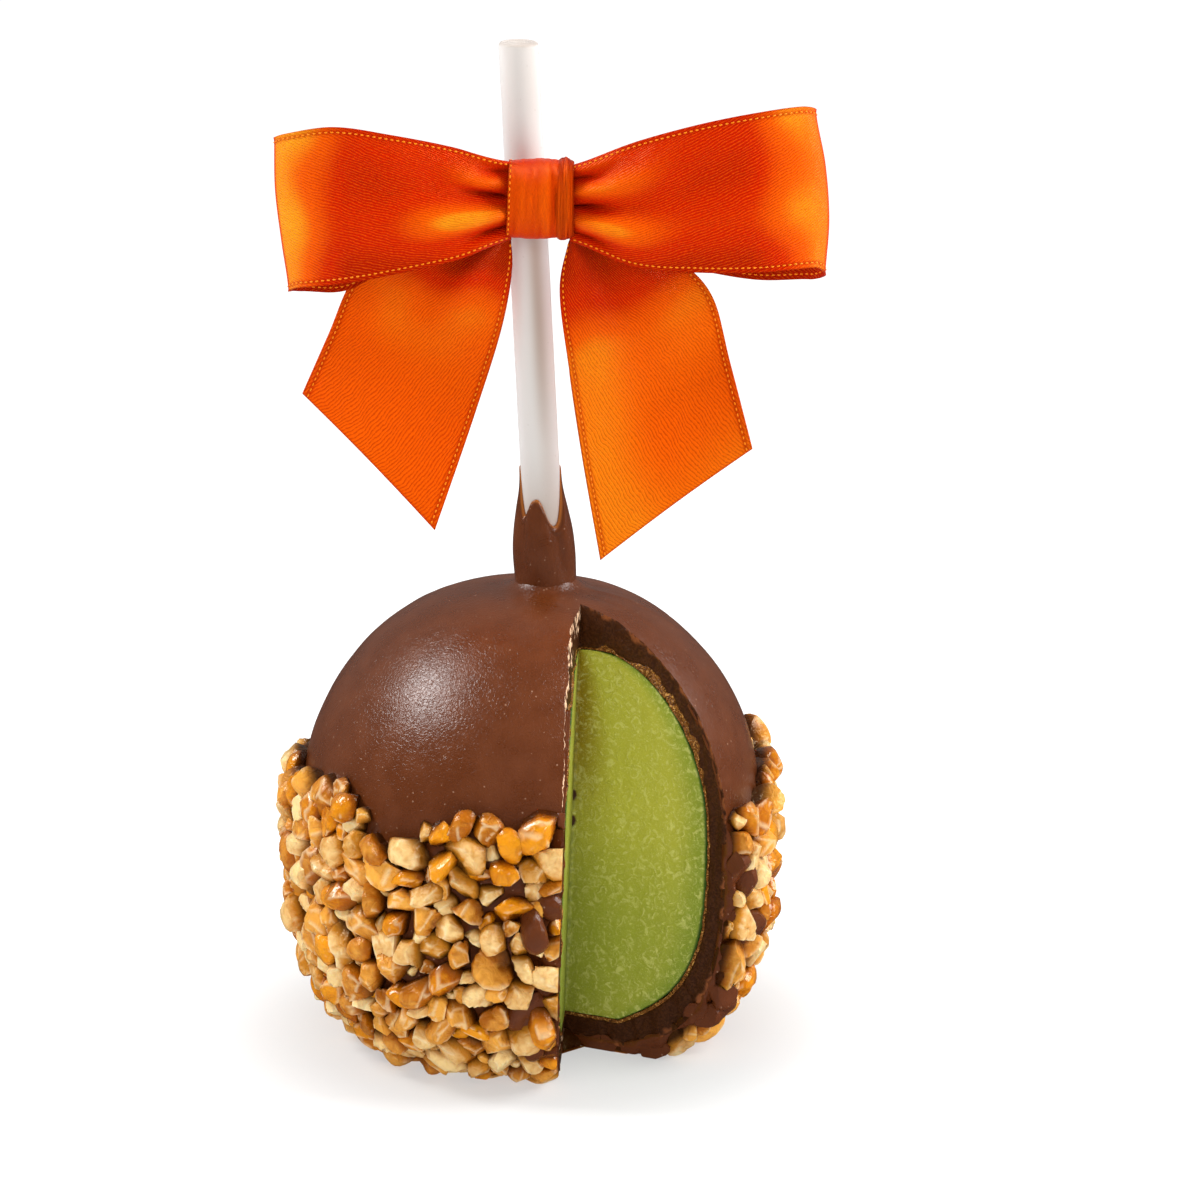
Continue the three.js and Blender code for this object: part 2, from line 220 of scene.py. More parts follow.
def raw_mesh(
    name: str,
    points: np.ndarray,
    faces: np.ndarray | list[list[int]],
    masks: dict[str, np.ndarray],
    uv: np.ndarray | None = None,
    looks: np.ndarray | None = None,
) -> bpy.types.Mesh:
    """Makes a smooth-shaded mesh from whole arrays.

    Args:
        name: the mesh's name.
        points: the vertices in millimetres.
        faces: the corner numbers of each face.
        masks: a value for each vertex, by name.
        uv: two numbers for each vertex, or None.
        looks: a material number for each face, or None.

    Returns:
        The mesh, in metres.
    """
    mesh = bpy.data.meshes.new(name)
    mesh.from_pydata((points * MM).tolist(), [], faces if isinstance(faces, list) else faces.tolist())
    for mask, values in masks.items():
        layer = mesh.attributes.new(mask, "FLOAT", "POINT")
        layer.data.foreach_set("value", np.ascontiguousarray(values, np.float32).ravel())
    if uv is not None:
        corners = np.empty(len(mesh.loops), np.int32)
        mesh.loops.foreach_get("vertex_index", corners)
        mesh.uv_layers.new(name="cloth").data.foreach_set("uv", uv[corners].astype(np.float32).ravel())
    if looks is not None:
        mesh.polygons.foreach_set("material_index", looks.astype(np.int32))
    mesh.polygons.foreach_set("use_smooth", np.ones(len(mesh.polygons), bool))
    return mesh


def weld(name: str, patches: list[Patch], materials: list[bpy.types.Material]) -> bpy.types.Object:
    """Joins patches whose borders meet into one closed piece with its faces pointing outwards.

    Args:
        name: the piece's name.
        patches: the grids, whose shared borders have the same points.
        materials: what the patches' looks stand for.

    Returns:
        The piece.
    """
    names = sorted({mask for patch in patches for mask in patch.masks})
    starts = np.cumsum([0] + [patch.points[..., 0].size for patch in patches])
    points = np.concatenate([patch.points.reshape(-1, 3) for patch in patches])
    faces = np.concatenate([patch.quads() + start for patch, start in zip(patches, starts)])
    looks = np.concatenate([np.full(len(patch.quads()), patch.look) for patch in patches])
    masks = {
        mask: np.concatenate(
            [np.broadcast_to(patch.masks.get(mask, 0.0), patch.points.shape[:2]).ravel() for patch in patches]
        )
        for mask in names
    }
    with_uv = patches[0].uv is not None
    uv = np.concatenate([patch.uv.reshape(-1, 2) for patch in patches]) if with_uv else None
    mesh = raw_mesh(name, points, faces, masks, uv, looks)
    work = bmesh.new()
    work.from_mesh(mesh)
    bmesh.ops.remove_doubles(work, verts=work.verts, dist=WELD_GAP)
    bmesh.ops.dissolve_degenerate(work, edges=work.edges, dist=WELD_GAP / 20)
    bmesh.ops.recalc_face_normals(work, faces=work.faces)
    work.to_mesh(mesh)
    work.free()
    for material in materials:
        mesh.materials.append(material)
    return link(name, mesh)


def sheet_patches(
    points: np.ndarray, uv: np.ndarray, thickness: np.ndarray, masks: dict[str, np.ndarray]
) -> list[Patch]:
    """A sheet of cloth of some thickness about a grid of points.

    Its two sides stand half the thickness off the grid along the grid's normals, and four narrow
    patches close its borders.

    Args:
        points: the middle of the cloth, in millimetres.
        uv: places on the cloth, in metres.
        thickness: millimetres, one for each point.
        masks: values over the grid.

    Returns:
        The six patches.
    """
    offset = grid_normals(points) * (thickness / 2)[..., None]
    front, back = points + offset, points - offset
    back_masks = {name: values[:, ::-1] for name, values in masks.items()}
    patches = [Patch(front, masks, uv), Patch(back[:, ::-1], back_masks, uv[:, ::-1])]
    for cut in (np.s_[:, :1], np.s_[:, -1:], np.s_[:1, :], np.s_[-1:, :]):
        rim = np.stack([front[cut].reshape(-1, 3), back[cut].reshape(-1, 3)])
        rim_masks = {name: np.stack([values[cut].ravel()] * 2) for name, values in masks.items()}
        patches.append(Patch(rim, rim_masks, np.stack([uv[cut].reshape(-1, 2)] * 2)))
    return patches


def chunk_grid(cells: int) -> tuple[np.ndarray, np.ndarray]:
    """Directions and faces of a ball made from a cube.

    Each side of the cube is a square grid whose lines are spaced by the tangent of even angles, and
    its points are pushed out to a length of one.

    Args:
        cells: faces along each edge of the cube.

    Returns:
        The unit directions, and four corner numbers for each face.
    """
    line = np.tan(np.linspace(-math.pi / 4, math.pi / 4, cells + 1))
    a, b = np.meshgrid(line, line, indexing="ij")
    one = np.ones_like(a)
    sides = [(one, a, b), (-one, b, a), (b, one, a), (a, -one, b), (a, b, one), (b, a, -one)]
    points = np.concatenate([np.stack(side, axis=-1).reshape(-1, 3) for side in sides])
    size = (cells + 1) ** 2
    index = np.arange(size).reshape(cells + 1, cells + 1)
    corners = [index[:-1, :-1], index[1:, :-1], index[1:, 1:], index[:-1, 1:]]
    side_faces = np.stack(corners, axis=-1).reshape(-1, 4)
    faces = np.concatenate([side_faces + size * k for k in range(6)])
    _, first, again = np.unique(np.round(points, 6), axis=0, return_index=True, return_inverse=True)
    return unit(points[first]), again.reshape(-1)[faces]


SNAP = 0.46  # share of a chunk's cell within which a vertex moves onto an edge
GRAZE = 0.06  # least cosine between a direction and a plane, so that no plane is endlessly far
BALL = 1.16  # radius of the ball that limits a chunk
EDGE_REACH = 0.05  # how far from an edge its painted highlight reaches
LEAST = 0.3  # the nearest that a dent comes to a chunk's middle


def broken_chunk(
    rng: np.random.Generator, cells: int, breaks: int, soft: float, dents: int
) -> tuple[np.ndarray, np.ndarray, np.ndarray]:
    """A broken chunk about one unit in radius, with flat breaks, crisp edges and a few dents.

    The distance from its middle along a direction is the soft minimum -s log(sum exp(-d_k / s)) of the
    distances d_k to a few random planes and to a ball, less a bell round the direction of each dent.
    A direction that passes close to the edge between its two nearest planes is first moved onto that edge.

    Args:
        rng: the source of chance.
        cells: faces along each edge of the cube that the chunk is made from.
        breaks: how many planes.
        soft: how rounded its edges are, s in the formula.
        dents: how many dents.

    Returns:
        Its vertices, the corner numbers of its faces, and for each vertex how near an edge it is, where
        its two nearest planes are equally far: 1 on the edge and 0 well away from it.
    """
    dirs, faces = chunk_grid(cells)
    planes = unit(rng.normal(size=(breaks, 3)))
    planes = planes / rng.uniform(0.58, 1.0, size=(breaks, 1))
    order = np.argsort(-(dirs @ planes.T), axis=1)
    across = planes[order[:, 0]] - planes[order[:, 1]]
    off = np.einsum("vk,vk->v", dirs, across) / np.einsum("vk,vk->v", across, across)
    near = (off * np.linalg.norm(across, axis=1) < SNAP * math.pi / 2 / cells)[:, None]
    dirs = np.where(near, unit(dirs - off[:, None] * across), dirs)
    reach = 1.0 / np.maximum(dirs @ planes.T, GRAZE)
    reach = np.concatenate([reach, np.full((len(dirs), 1), BALL)], axis=1)
    radius = -soft * np.log(np.exp(-reach / soft).sum(axis=1))
    nearest = np.sort(reach, axis=1)
    edge = np.exp(-(nearest[:, 1] - nearest[:, 0]) / EDGE_REACH)
    for _ in range(dents):
        where = unit(rng.normal(size=3))
        width = rng.uniform(0.03, 0.16)
        radius = radius - rng.uniform(0.08, 0.24) * np.exp(-(1.0 - dirs @ where) / width)
    return dirs * np.maximum(radius, LEAST)[:, None], faces, edge


# ---------------------------------------------------------------- shader building


class Shader:
    """A short way to write node trees: each call adds a node, and links or sets its inputs."""

    def __init__(self, tree: bpy.types.NodeTree) -> None:
        """Starts on a node tree that is already there."""
        self.tree = tree

    def feed(self, socket: bpy.types.NodeSocket, value: object) -> None:
        """Links or sets one input.

        Args:
            socket: the input.
            value: a socket to link, or a plain value to set; a colour may leave out its alpha of one.
        """
        if isinstance(value, bpy.types.NodeSocket):
            self.tree.links.new(value, socket)
        elif socket.type == "RGBA" and len(value) == 3:
            socket.default_value = (*value, 1.0)
        else:
            socket.default_value = value

    def add(self, kind: str, inputs: dict | None = None, **settings: object) -> bpy.types.Node:
        """Adds one node.

        Args:
            kind: the node's type, without the words ShaderNode.
            inputs: sockets to link or values to set, by input name or number.
            settings: the node's own properties.

        Returns:
            The node.
        """
        node = self.tree.nodes.new(f"ShaderNode{kind}")
        for key, value in settings.items():
            setattr(node, key, value)
        for key, value in (inputs or {}).items():
            self.feed(node.inputs[key], value)
        return node

    def math(self, operation: str, a: object, b: object = 0.0, c: object = 0.0) -> bpy.types.NodeSocket:
        """One step of arithmetic, clamped from 0 to 1 where the operation's name ends in a plus sign."""
        name, clamped = operation.rstrip("+"), operation.endswith("+")
        return self.add("Math", {0: a, 1: b, 2: c}, operation=name, use_clamp=clamped).outputs[0]

    def blend(self, share: object, a: object, b: object) -> bpy.types.NodeSocket:
        """Blends two colours.

        Args:
            share: how far from a to b, a number or a socket.
            a: the first colour, or a socket.
            b: the second one.

        Returns:
            The socket of the blended colour.
        """
        node = self.add("Mix", data_type="RGBA")
        for number, value in ((0, share), (6, a), (7, b)):
            self.feed(node.inputs[number], value)
        return node.outputs[2]

    def span(self, value: object, low: float, high: float, most: float = 1.0) -> bpy.types.NodeSocket:
        """0 where value is below low, most where it is above high, and eased between."""
        node = self.add("MapRange", {0: value, 1: low, 2: high, 4: most}, interpolation_type="SMOOTHSTEP")
        return node.outputs[0]

    def mask(self, name: str) -> bpy.types.NodeSocket:
        """A mask that the piece's own vertices carry."""
        return self.add("Attribute", attribute_name=name).outputs["Fac"]

    def place(self) -> bpy.types.NodeSocket:
        """Object coordinates, in metres."""
        return self.add("TexCoord").outputs["Object"]

    def bump(self, height: object, distance: float) -> bpy.types.NodeSocket:
        """A normal from a height whose full span stands for distance metres."""
        return self.add("Bump", {"Distance": distance, "Height": height}).outputs[0]


def node_group(
    name: str, inputs: dict[str, float], outputs: tuple[str, ...]
) -> tuple[bpy.types.NodeTree, Shader]:
    """Starts a shader node group.

    Args:
        name: the group's name.
        inputs: its number inputs and what they are by default; an input named Place is a vector.
        outputs: its number outputs.

    Returns:
        The group and a Shader on it.
    """
    group = bpy.data.node_groups.new(name, "ShaderNodeTree")
    for label, value in inputs.items():
        kind = "NodeSocketVector" if label == "Place" else "NodeSocketFloat"
        socket = group.interface.new_socket(label, in_out="INPUT", socket_type=kind)
        if kind == "NodeSocketFloat":
            socket.default_value = value
    for label in outputs:
        group.interface.new_socket(label, in_out="OUTPUT", socket_type="NodeSocketFloat")
    return group, Shader(group)


def mottle_group() -> bpy.types.NodeTree:
    """Soft blotches with fine worms in them and a few specks, as food shows under a broad light.

    Mask is cloud noise, Height is a noise bent by another noise, and Specks is 1 in small spots round
    the random points of a Voronoi pattern where a second noise is high.
    """
    inputs = {"Place": 0, "Pitch": 900.0, "Bend": 1.0}
    group, pad = node_group("food_mottle", inputs, ("Mask", "Height", "Specks"))
    given = group.nodes.new("NodeGroupInput")
    place, pitch, bend = given.outputs["Place"], given.outputs["Pitch"], given.outputs["Bend"]
    cloud = pad.add("TexNoise", {"Vector": place, "Scale": pad.math("MULTIPLY", pitch, 0.12), "Detail": 3.0})
    worms = pad.add(
        "TexNoise", {"Vector": place, "Scale": pitch, "Detail": 2.0, "Roughness": 0.55, "Distortion": bend}
    )
    cells = pad.add("TexVoronoi", {"Vector": place, "Scale": pad.math("MULTIPLY", pitch, 0.45)})
    rare = pad.add("TexNoise", {"Vector": place, "Scale": pad.math("MULTIPLY", pitch, 0.7), "Detail": 0.0})
    near_point = pad.span(cells.outputs["Distance"], 0.16, 0.06)
    spots = pad.math("MULTIPLY", near_point, pad.span(rare.outputs[0], 0.54, 0.62))
    given_back = group.nodes.new("NodeGroupOutput")
    for name, socket in (("Mask", cloud.outputs[0]), ("Height", worms.outputs[0]), ("Specks", spots)):
        group.links.new(socket, given_back.inputs[name])
    return group


class Finish:
    """A finish: makes its material once, and every piece that wears it shares it."""

    name = "finish"
    _made: dict[str, bpy.types.Material] = {}
    _mottle: bpy.types.NodeTree | None = None

    def material(self) -> bpy.types.Material:
        """The finish's material, made at the first call."""
        if self.name not in Finish._made:
            material = bpy.data.materials.new(self.name)
            material.use_nodes = True
            material.node_tree.nodes.clear()
            pad = Shader(material.node_tree)
            surface = pad.add("BsdfPrincipled")
            out = pad.add("OutputMaterial", {"Surface": surface.outputs[0]})
            out.is_active_output = True
            self.dress(pad, surface)
            Finish._made[self.name] = material
        return Finish._made[self.name]

    def dress(self, pad: Shader, surface: bpy.types.Node) -> None:
        """Fills in the material's nodes; each finish has its own.

        Args:
            pad: writes to the material's node tree.
            surface: the material's shader, whose inputs are fed.
        """
        raise NotImplementedError

    def mottle(self, pad: Shader, pitch: float, bend: float = 1.0) -> dict[str, bpy.types.NodeSocket]:
        """Places the food mottle in the material, on Object coordinates.

        Args:
            pad: writes to the material's node tree.
            pitch: how many of its features go into a metre.
            bend: how far its worms bend.

        Returns:
            Its outputs, by name.
        """
        if Finish._mottle is None:
            Finish._mottle = mottle_group()
        node = pad.add("Group", node_tree=Finish._mottle)
        for name, value in (("Place", pad.place()), ("Pitch", pitch), ("Bend", bend)):
            pad.feed(node.inputs[name], value)
        return {name: node.outputs[name] for name in ("Mask", "Height", "Specks")}

    @staticmethod
    def join(pad: Shader, surface: bpy.types.Node, **inputs: object) -> None:
        """Links or sets the surface's inputs, with an underscore for each space in an input's name."""
        for key, value in inputs.items():
            pad.feed(surface.inputs[key.replace("_", " ")], value)


@dataclass(frozen=True)
class MilkChocolate(Finish):
    """Poured milk chocolate with a satin gloss: fine worms in its sheen and a few pale specks."""

    name: str = "milk_chocolate"
    base: Colour = (0.121, 0.0285, 0.0060)
    pale: Colour = (0.142, 0.0355, 0.0085)
    speck: Colour = (0.44, 0.25, 0.16)
    rim: Colour = (0.42, 0.13, 0.02)
    gloss: float = 0.285

    def dress(self, pad: Shader, surface: bpy.types.Node) -> None:
        """Mottled colour, specks, thin amber rims by the mask "thin", and a fine bump.

        Args:
            pad: writes to the material's node tree.
            surface: the material's shader, whose inputs are fed.
        """
        marks = self.mottle(pad, 1500.0, 1.2)
        colour = pad.blend(pad.span(marks["Mask"], 0.38, 0.66), self.base, self.pale)
        colour = pad.blend(pad.math("MULTIPLY", marks["Specks"], 0.7), colour, self.speck)
        colour = pad.blend(pad.mask("thin"), colour, self.rim)
        roughness = pad.math("MULTIPLY_ADD", marks["Mask"], 0.12, self.gloss - 0.06)
        self.join(
            pad, surface, Base_Color=colour, Roughness=roughness,
            Normal=pad.bump(marks["Height"], 0.00011), Specular_IOR_Level=0.50,
        )


@dataclass(frozen=True)
class CutChocolate(Finish):
    """The chocolate's cut edge: darker and waxy, with knife streaks, a reddish painted highlight along its
    outer rim, and on the left face pale crumbs that also paint the light caught by that edge.
    """

    name: str = "cut_chocolate"
    base: Colour = (0.048, 0.0125, 0.0022)
    pale: Colour = (0.076, 0.0220, 0.0050)
    # painted highlight along the cut face's outer rim
    rim: Colour = (0.26, 0.075, 0.020)
    # pale crumbs, which also paint the light caught by the left face's outer edge
    crumb: Colour = (0.98, 0.64, 0.40)

    def dress(self, pad: Shader, surface: bpy.types.Node) -> None:
        """Streaked dark colour, with a reddish painted highlight along the outer rim by the mask "rim", and
        pale crumbs by a second mask that also paint the light on the left face's outer edge.

        Args:
            pad: writes to the material's node tree.
            surface: the material's shader, whose inputs are fed.
        """
        marks = self.mottle(pad, 1100.0, 2.0)
        colour = pad.blend(pad.span(marks["Height"], 0.42, 0.62), self.base, self.pale)
        # painted highlight along the outer rim, then pale crumbs that also paint the light on the left face's
        # outer edge
        colour = pad.blend(pad.mask("rim"), colour, self.rim)
        colour = pad.blend(pad.mask("crumb"), colour, self.crumb)
        self.join(
            pad, surface, Base_Color=colour, Normal=pad.bump(marks["Height"], 0.00022), Roughness=0.45,
            Specular_IOR_Level=0.22,
        )


@dataclass(frozen=True)
class Caramel(Finish):
    """Golden amber caramel, torn where it was cut, and a little see-through."""

    name: str = "caramel"
    base: Colour = (0.25, 0.085, 0.013)
    dark: Colour = (0.060, 0.018, 0.003)
    gold: Colour = (0.78, 0.40, 0.10)

    def dress(self, pad: Shader, surface: bpy.types.Node) -> None:
        """Amber with dark pits and pale golden tears.

        Args:
            pad: writes to the material's node tree.
            surface: the material's shader, whose inputs are fed.
        """
        marks = self.mottle(pad, 1300.0, 2.5)
        colour = pad.blend(pad.span(marks["Height"], 0.36, 0.5), self.dark, self.base)
        colour = pad.blend(pad.span(marks["Height"], 0.56, 0.68), colour, self.gold)
        self.join(
            pad, surface, Base_Color=colour, Normal=pad.bump(marks["Height"], 0.00035), Roughness=0.26,
        )


@dataclass(frozen=True)
class Flesh(Finish):
    """Moist green flesh: yellow by the core, green under the skin, with pale fibres and darker pits."""

    name: str = "apple_flesh"
    base: Colour = (0.53, 0.52, 0.052)
    pale: Colour = (0.78, 0.78, 0.24)
    yellow: Colour = (0.34, 0.23, 0.002)
    green: Colour = (0.20, 0.29, 0.020)
    skin: Colour = (0.045, 0.105, 0.008)
    seed: Colour = (0.075, 0.022, 0.006)

    def dress(self, pad: Shader, surface: bpy.types.Node) -> None:
        """Blends the colours by the masks "depth", from the core to the skin, and "up".

        Args:
            pad: writes to the material's node tree.
            surface: the material's shader, whose inputs are fed.
        """
        depth, up = pad.mask("depth"), pad.mask("up")
        marks = self.mottle(pad, 620.0, 1.5)
        fine = self.mottle(pad, 1900.0, 2.5)
        near_core = pad.math("MULTIPLY", pad.span(depth, 0.34, 0.02), pad.span(up, 0.42, 0.86))
        colour = pad.blend(near_core, self.base, self.yellow)
        low = pad.span(up, 0.6, 0.05, most=0.48)
        colour = pad.blend(low, colour, self.green)
        colour = pad.blend(pad.span(depth, 0.74, 1.0, most=0.8), colour, self.green)
        colour = pad.blend(pad.span(marks["Height"], 0.50, 0.70, most=0.50), colour, self.pale)
        colour = pad.blend(pad.span(fine["Height"], 0.57, 0.70, most=0.55), colour, self.pale)
        colour = pad.blend(pad.span(fine["Height"], 0.40, 0.28, most=0.35), colour, self.green)
        colour = pad.blend(pad.span(depth, 0.975, 0.995), colour, self.skin)
        colour = pad.blend(pad.mask("shade"), colour, self.skin)
        colour = pad.blend(pad.span(pad.mask("pit"), 0.2, 0.6), colour, self.seed)
        height = pad.math("ADD", marks["Height"], pad.math("MULTIPLY", fine["Height"], 0.5))
        self.join(
            pad, surface, Base_Color=colour, Normal=pad.bump(height, 0.00025), Roughness=0.36,
            Subsurface_Weight=0.12, Subsurface_Radius=(0.8, 0.9, 0.3), Subsurface_Scale=0.0015,
        )


@dataclass(frozen=True)
class ChoppedNut(Finish):
    """Roasted nut: each chunk has its own tone, painted shade darkens its sides and its foot, where the
    chocolate it sits in also stains it, and a painted highlight makes its edges pale.
    """

    name: str = "nut"
    light: Colour = (0.85, 0.58, 0.27)
    deep: Colour = (0.60, 0.31, 0.09)
    # painted shade at the chunk's foot, partly the chocolate's stain
    foot: Colour = (0.040, 0.008, 0.0005)
    # painted highlight along the chunk's edges
    mottle_and_rim_highlight: Colour = (1.0, 0.86, 0.54)
    gloss: float = 0.36
    coat: float = 0.22

    def dress(self, pad: Shader, surface: bpy.types.Node) -> None:
        """Mottled tone by the mask "tone", with painted shade deepening it down its sides and darkening its
        foot by the mask "lift", and a painted highlight on its edges.

        Args:
            pad: writes to the material's node tree.
            surface: the material's shader, whose inputs are fed.
        """
        marks = self.mottle(pad, 560.0, 0.5)
        fine = self.mottle(pad, 2200.0, 1.0)
        lift = pad.mask("lift")
        # a random shift of tone from the mottle
        mottle_and_rim_highlight = pad.math("MULTIPLY_ADD", marks["Height"], 1.5, -0.75)
        # painted shade: the tone deepens down the chunk's sides
        side = pad.span(lift, 0.92, 0.35, most=0.85)
        tone = pad.math("ADD+", pad.math("ADD", pad.mask("tone"), mottle_and_rim_highlight), side)
        colour = pad.blend(tone, self.light, self.deep)
        # painted highlight along the chunk's edges, on its upper part
        rim = pad.math("MULTIPLY", pad.span(pad.mask("edge"), 0.25, 1.0), pad.span(lift, 0.40, 0.85))
        colour = pad.blend(pad.math("MULTIPLY", rim, 0.42), colour, self.mottle_and_rim_highlight)
        # painted shade at the chunk's foot, partly the chocolate's stain
        colour = pad.blend(pad.span(lift, 0.72, 0.20, most=0.97), colour, self.foot)
        height = pad.math("ADD", marks["Height"], pad.math("MULTIPLY", fine["Height"], 0.03))
        self.join(
            pad, surface, Base_Color=colour, Normal=pad.bump(height, 0.00060), Roughness=self.gloss,
            Coat_Weight=self.coat, Coat_Roughness=0.15, Specular_Tint=(1.0, 0.80, 0.50),
            Subsurface_Weight=0.12, Subsurface_Radius=(1.0, 0.5, 0.15), Subsurface_Scale=0.0010,
        )


@dataclass(frozen=True)
class RolledPaper(Finish):
    """Smooth white rolled paper with faint fibres and a few grey specks."""

    name: str = "paper_stick"
    base: Colour = (0.765, 0.735, 0.70)
    # painted reflection where the stick turns away from the view
    edge: Colour = (0.89, 0.88, 0.86)
    # painted shade and reflected chocolate brown
    low: Colour = (0.30, 0.145, 0.055)

    def dress(self, pad: Shader, surface: bpy.types.Node) -> None:
        """Near-white, paler by a painted reflection where it turns away from the view, browner by painted
        shade and reflected chocolate from the stick's mask, with a few specks.

        Args:
            pad: writes to the material's node tree.
            surface: the material's shader, whose inputs are fed.
        """
        marks = self.mottle(pad, 1400.0, 1.0)
        # painted reflection: paler where the surface turns away from the view
        turned = pad.add("LayerWeight", {"Blend": 0.5}).outputs["Facing"]
        colour = pad.blend(pad.span(turned, 0.10, 0.75), self.base, self.edge)
        # painted shade and reflected chocolate brown
        colour = pad.blend(pad.mask("stain"), colour, self.low)
        colour = pad.blend(pad.math("MULTIPLY", marks["Specks"], 0.25), colour, (0.5, 0.44, 0.38))
        self.join(
            pad, surface, Base_Color=colour, Normal=pad.bump(marks["Height"], 0.00002), Roughness=0.5,
        )


@dataclass(frozen=True)
class Satin(Finish):
    """Orange satin: slanted fine floats in its weave, redder with painted shade in the folds and golden with
    a painted highlight on the ridges.
    """

    name: str = "satin_ribbon"
    # deep: painted shade in the folds; light and the golden colour after it: painted highlights on the ridges
    deep: Colour = (0.34, 0.002, 0.0)
    base: Colour = (0.66, 0.010, 0.0)
    light: Colour = (0.96, 0.115, 0.0014)
    ridge_highlight: Colour = (1.0, 0.46, 0.014)
    edge: Colour = (0.44, 0.005, 0.0)
    pitch_mm: float = 0.53
    slant: tuple[float, float] = (0.91, 0.43)  # across the lines of the weave, on the cloth

    def dress(self, pad: Shader, surface: bpy.types.Node) -> None:
        """Slanted lines over the cloth's own coordinates, tinted by the mask "hem" and by the mask "fold",
        which paints shade in the folds and highlights on the ridges.

        The lines are a sine of the distance across them, shifted by soft noise, so that they sway and break.

        Args:
            pad: writes to the material's node tree.
            surface: the material's shader, whose inputs are fed.
        """
        cloth = pad.add("UVMap", uv_map="cloth").outputs[0]
        turns = 2000.0 * math.pi / self.pitch_mm
        slope = (self.slant[0] * turns, self.slant[1] * turns, 0.0)
        across = pad.add("VectorMath", {0: cloth, 1: slope}, operation="DOT_PRODUCT")
        sway = pad.add("TexNoise", {"Vector": cloth, "Scale": 260.0, "Detail": 3.0}).outputs[0]
        lines = pad.math("SINE", pad.math("ADD", across.outputs["Value"], pad.math("MULTIPLY", sway, 16.0)))
        grain = pad.add("TexNoise", {"Vector": cloth, "Scale": 2300.0, "Detail": 1.0}).outputs[0]
        fold = pad.mask("fold")
        # painted shade towards 0 of the mask, painted highlight towards 1
        colour = pad.blend(pad.span(fold, 0.42, 0.0), self.base, self.deep)
        colour = pad.blend(pad.span(fold, 0.40, 0.82), colour, self.light)
        colour = pad.blend(pad.span(fold, 0.76, 1.04), colour, self.ridge_highlight)
        weave = pad.math("ADD", pad.math("MULTIPLY_ADD", lines, 0.24, 0.25), pad.math("MULTIPLY", grain, 0.5))
        colour = pad.blend(pad.span(weave, 0.52, 0.24, most=0.46), colour, self.edge)
        colour = pad.blend(pad.span(weave, 0.54, 0.80, most=0.50), colour, self.light)
        colour = pad.blend(pad.math("MULTIPLY", pad.mask("hem"), 0.75), colour, self.edge)
        self.join(
            pad, surface, Base_Color=colour, Normal=pad.bump(weave, 0.00016), Roughness=0.38, IOR=1.5,
            Specular_Tint=(1.0, 0.28, 0.01),
        )


@dataclass(frozen=True)
class Thread(Finish):
    """The golden orange thread of the stitched edges."""

    name: str = "stitch_thread"
    base: Colour = (1.0, 0.26, 0.006)
    dark: Colour = (0.60, 0.03, 0.0)

    def dress(self, pad: Shader, surface: bpy.types.Node) -> None:
        """A painted highlight on top of each stitch and painted shade where it dips into the cloth, by the
        mask "lift".

        Args:
            pad: writes to the material's node tree.
            surface: the material's shader, whose inputs are fed.
        """
        marks = self.mottle(pad, 2500.0, 0.5)
        # painted highlight on top of each stitch, painted shade where it dips
        colour = pad.blend(pad.span(pad.mask("lift"), 0.2, 0.75), self.dark, self.base)
        self.join(
            pad, surface, Base_Color=colour, Normal=pad.bump(marks["Height"], 0.00004), Roughness=0.38,
            Specular_Tint=(1.0, 0.7, 0.3),
        )


@dataclass(frozen=True)
class PaleFloor(Finish):
    """A plain near-white floor that glows a little, so that it meets the white behind it."""

    name: str = "pale_floor"
    base: Colour = (0.36, 0.36, 0.36)
    unshone: Colour = (0.03, 0.03, 0.03)
    near_glow: float = 0.49
    far_glow: float = 0.90
    glow_reach: tuple[float, float] = (0.036, 0.080)  # metres from the apple over which the glow rises out of the painted contact shadow
    glow_unshone: float = 0.06

    def dress(self, pad: Shader, surface: bpy.types.Node) -> None:
        """One pale colour, with a glow that rises away from the apple, so that a painted contact shadow lies
        round it, and dark in the apple's own shine.

        Args:
            pad: writes to the material's node tree.
            surface: the material's shader, whose inputs are fed.
        """
        away = pad.add("VectorMath", {0: pad.place()}, operation="LENGTH").outputs["Value"]
        seen = pad.math("SUBTRACT", 1.0, pad.add("LightPath").outputs["Is Glossy Ray"])
        # lower glow near the apple: a painted contact shadow
        rise = pad.span(away, *self.glow_reach, most=self.far_glow - self.near_glow)
        unshone = 1.0 - self.glow_unshone
        glow = pad.math("ADD", rise, self.near_glow)
        glow = pad.math("MULTIPLY", glow, pad.math("MULTIPLY_ADD", seen, unshone, self.glow_unshone))
        self.join(
            pad, surface, Base_Color=pad.blend(seen, self.unshone, self.base),
            Emission_Color=pad.add("CombineXYZ", {0: glow, 1: glow, 2: glow}).outputs[0], Roughness=0.9,
            Specular_IOR_Level=0.0, Emission_Strength=1.0,
        )


# ---------------------------------------------------------------- the apple's layers and its cut


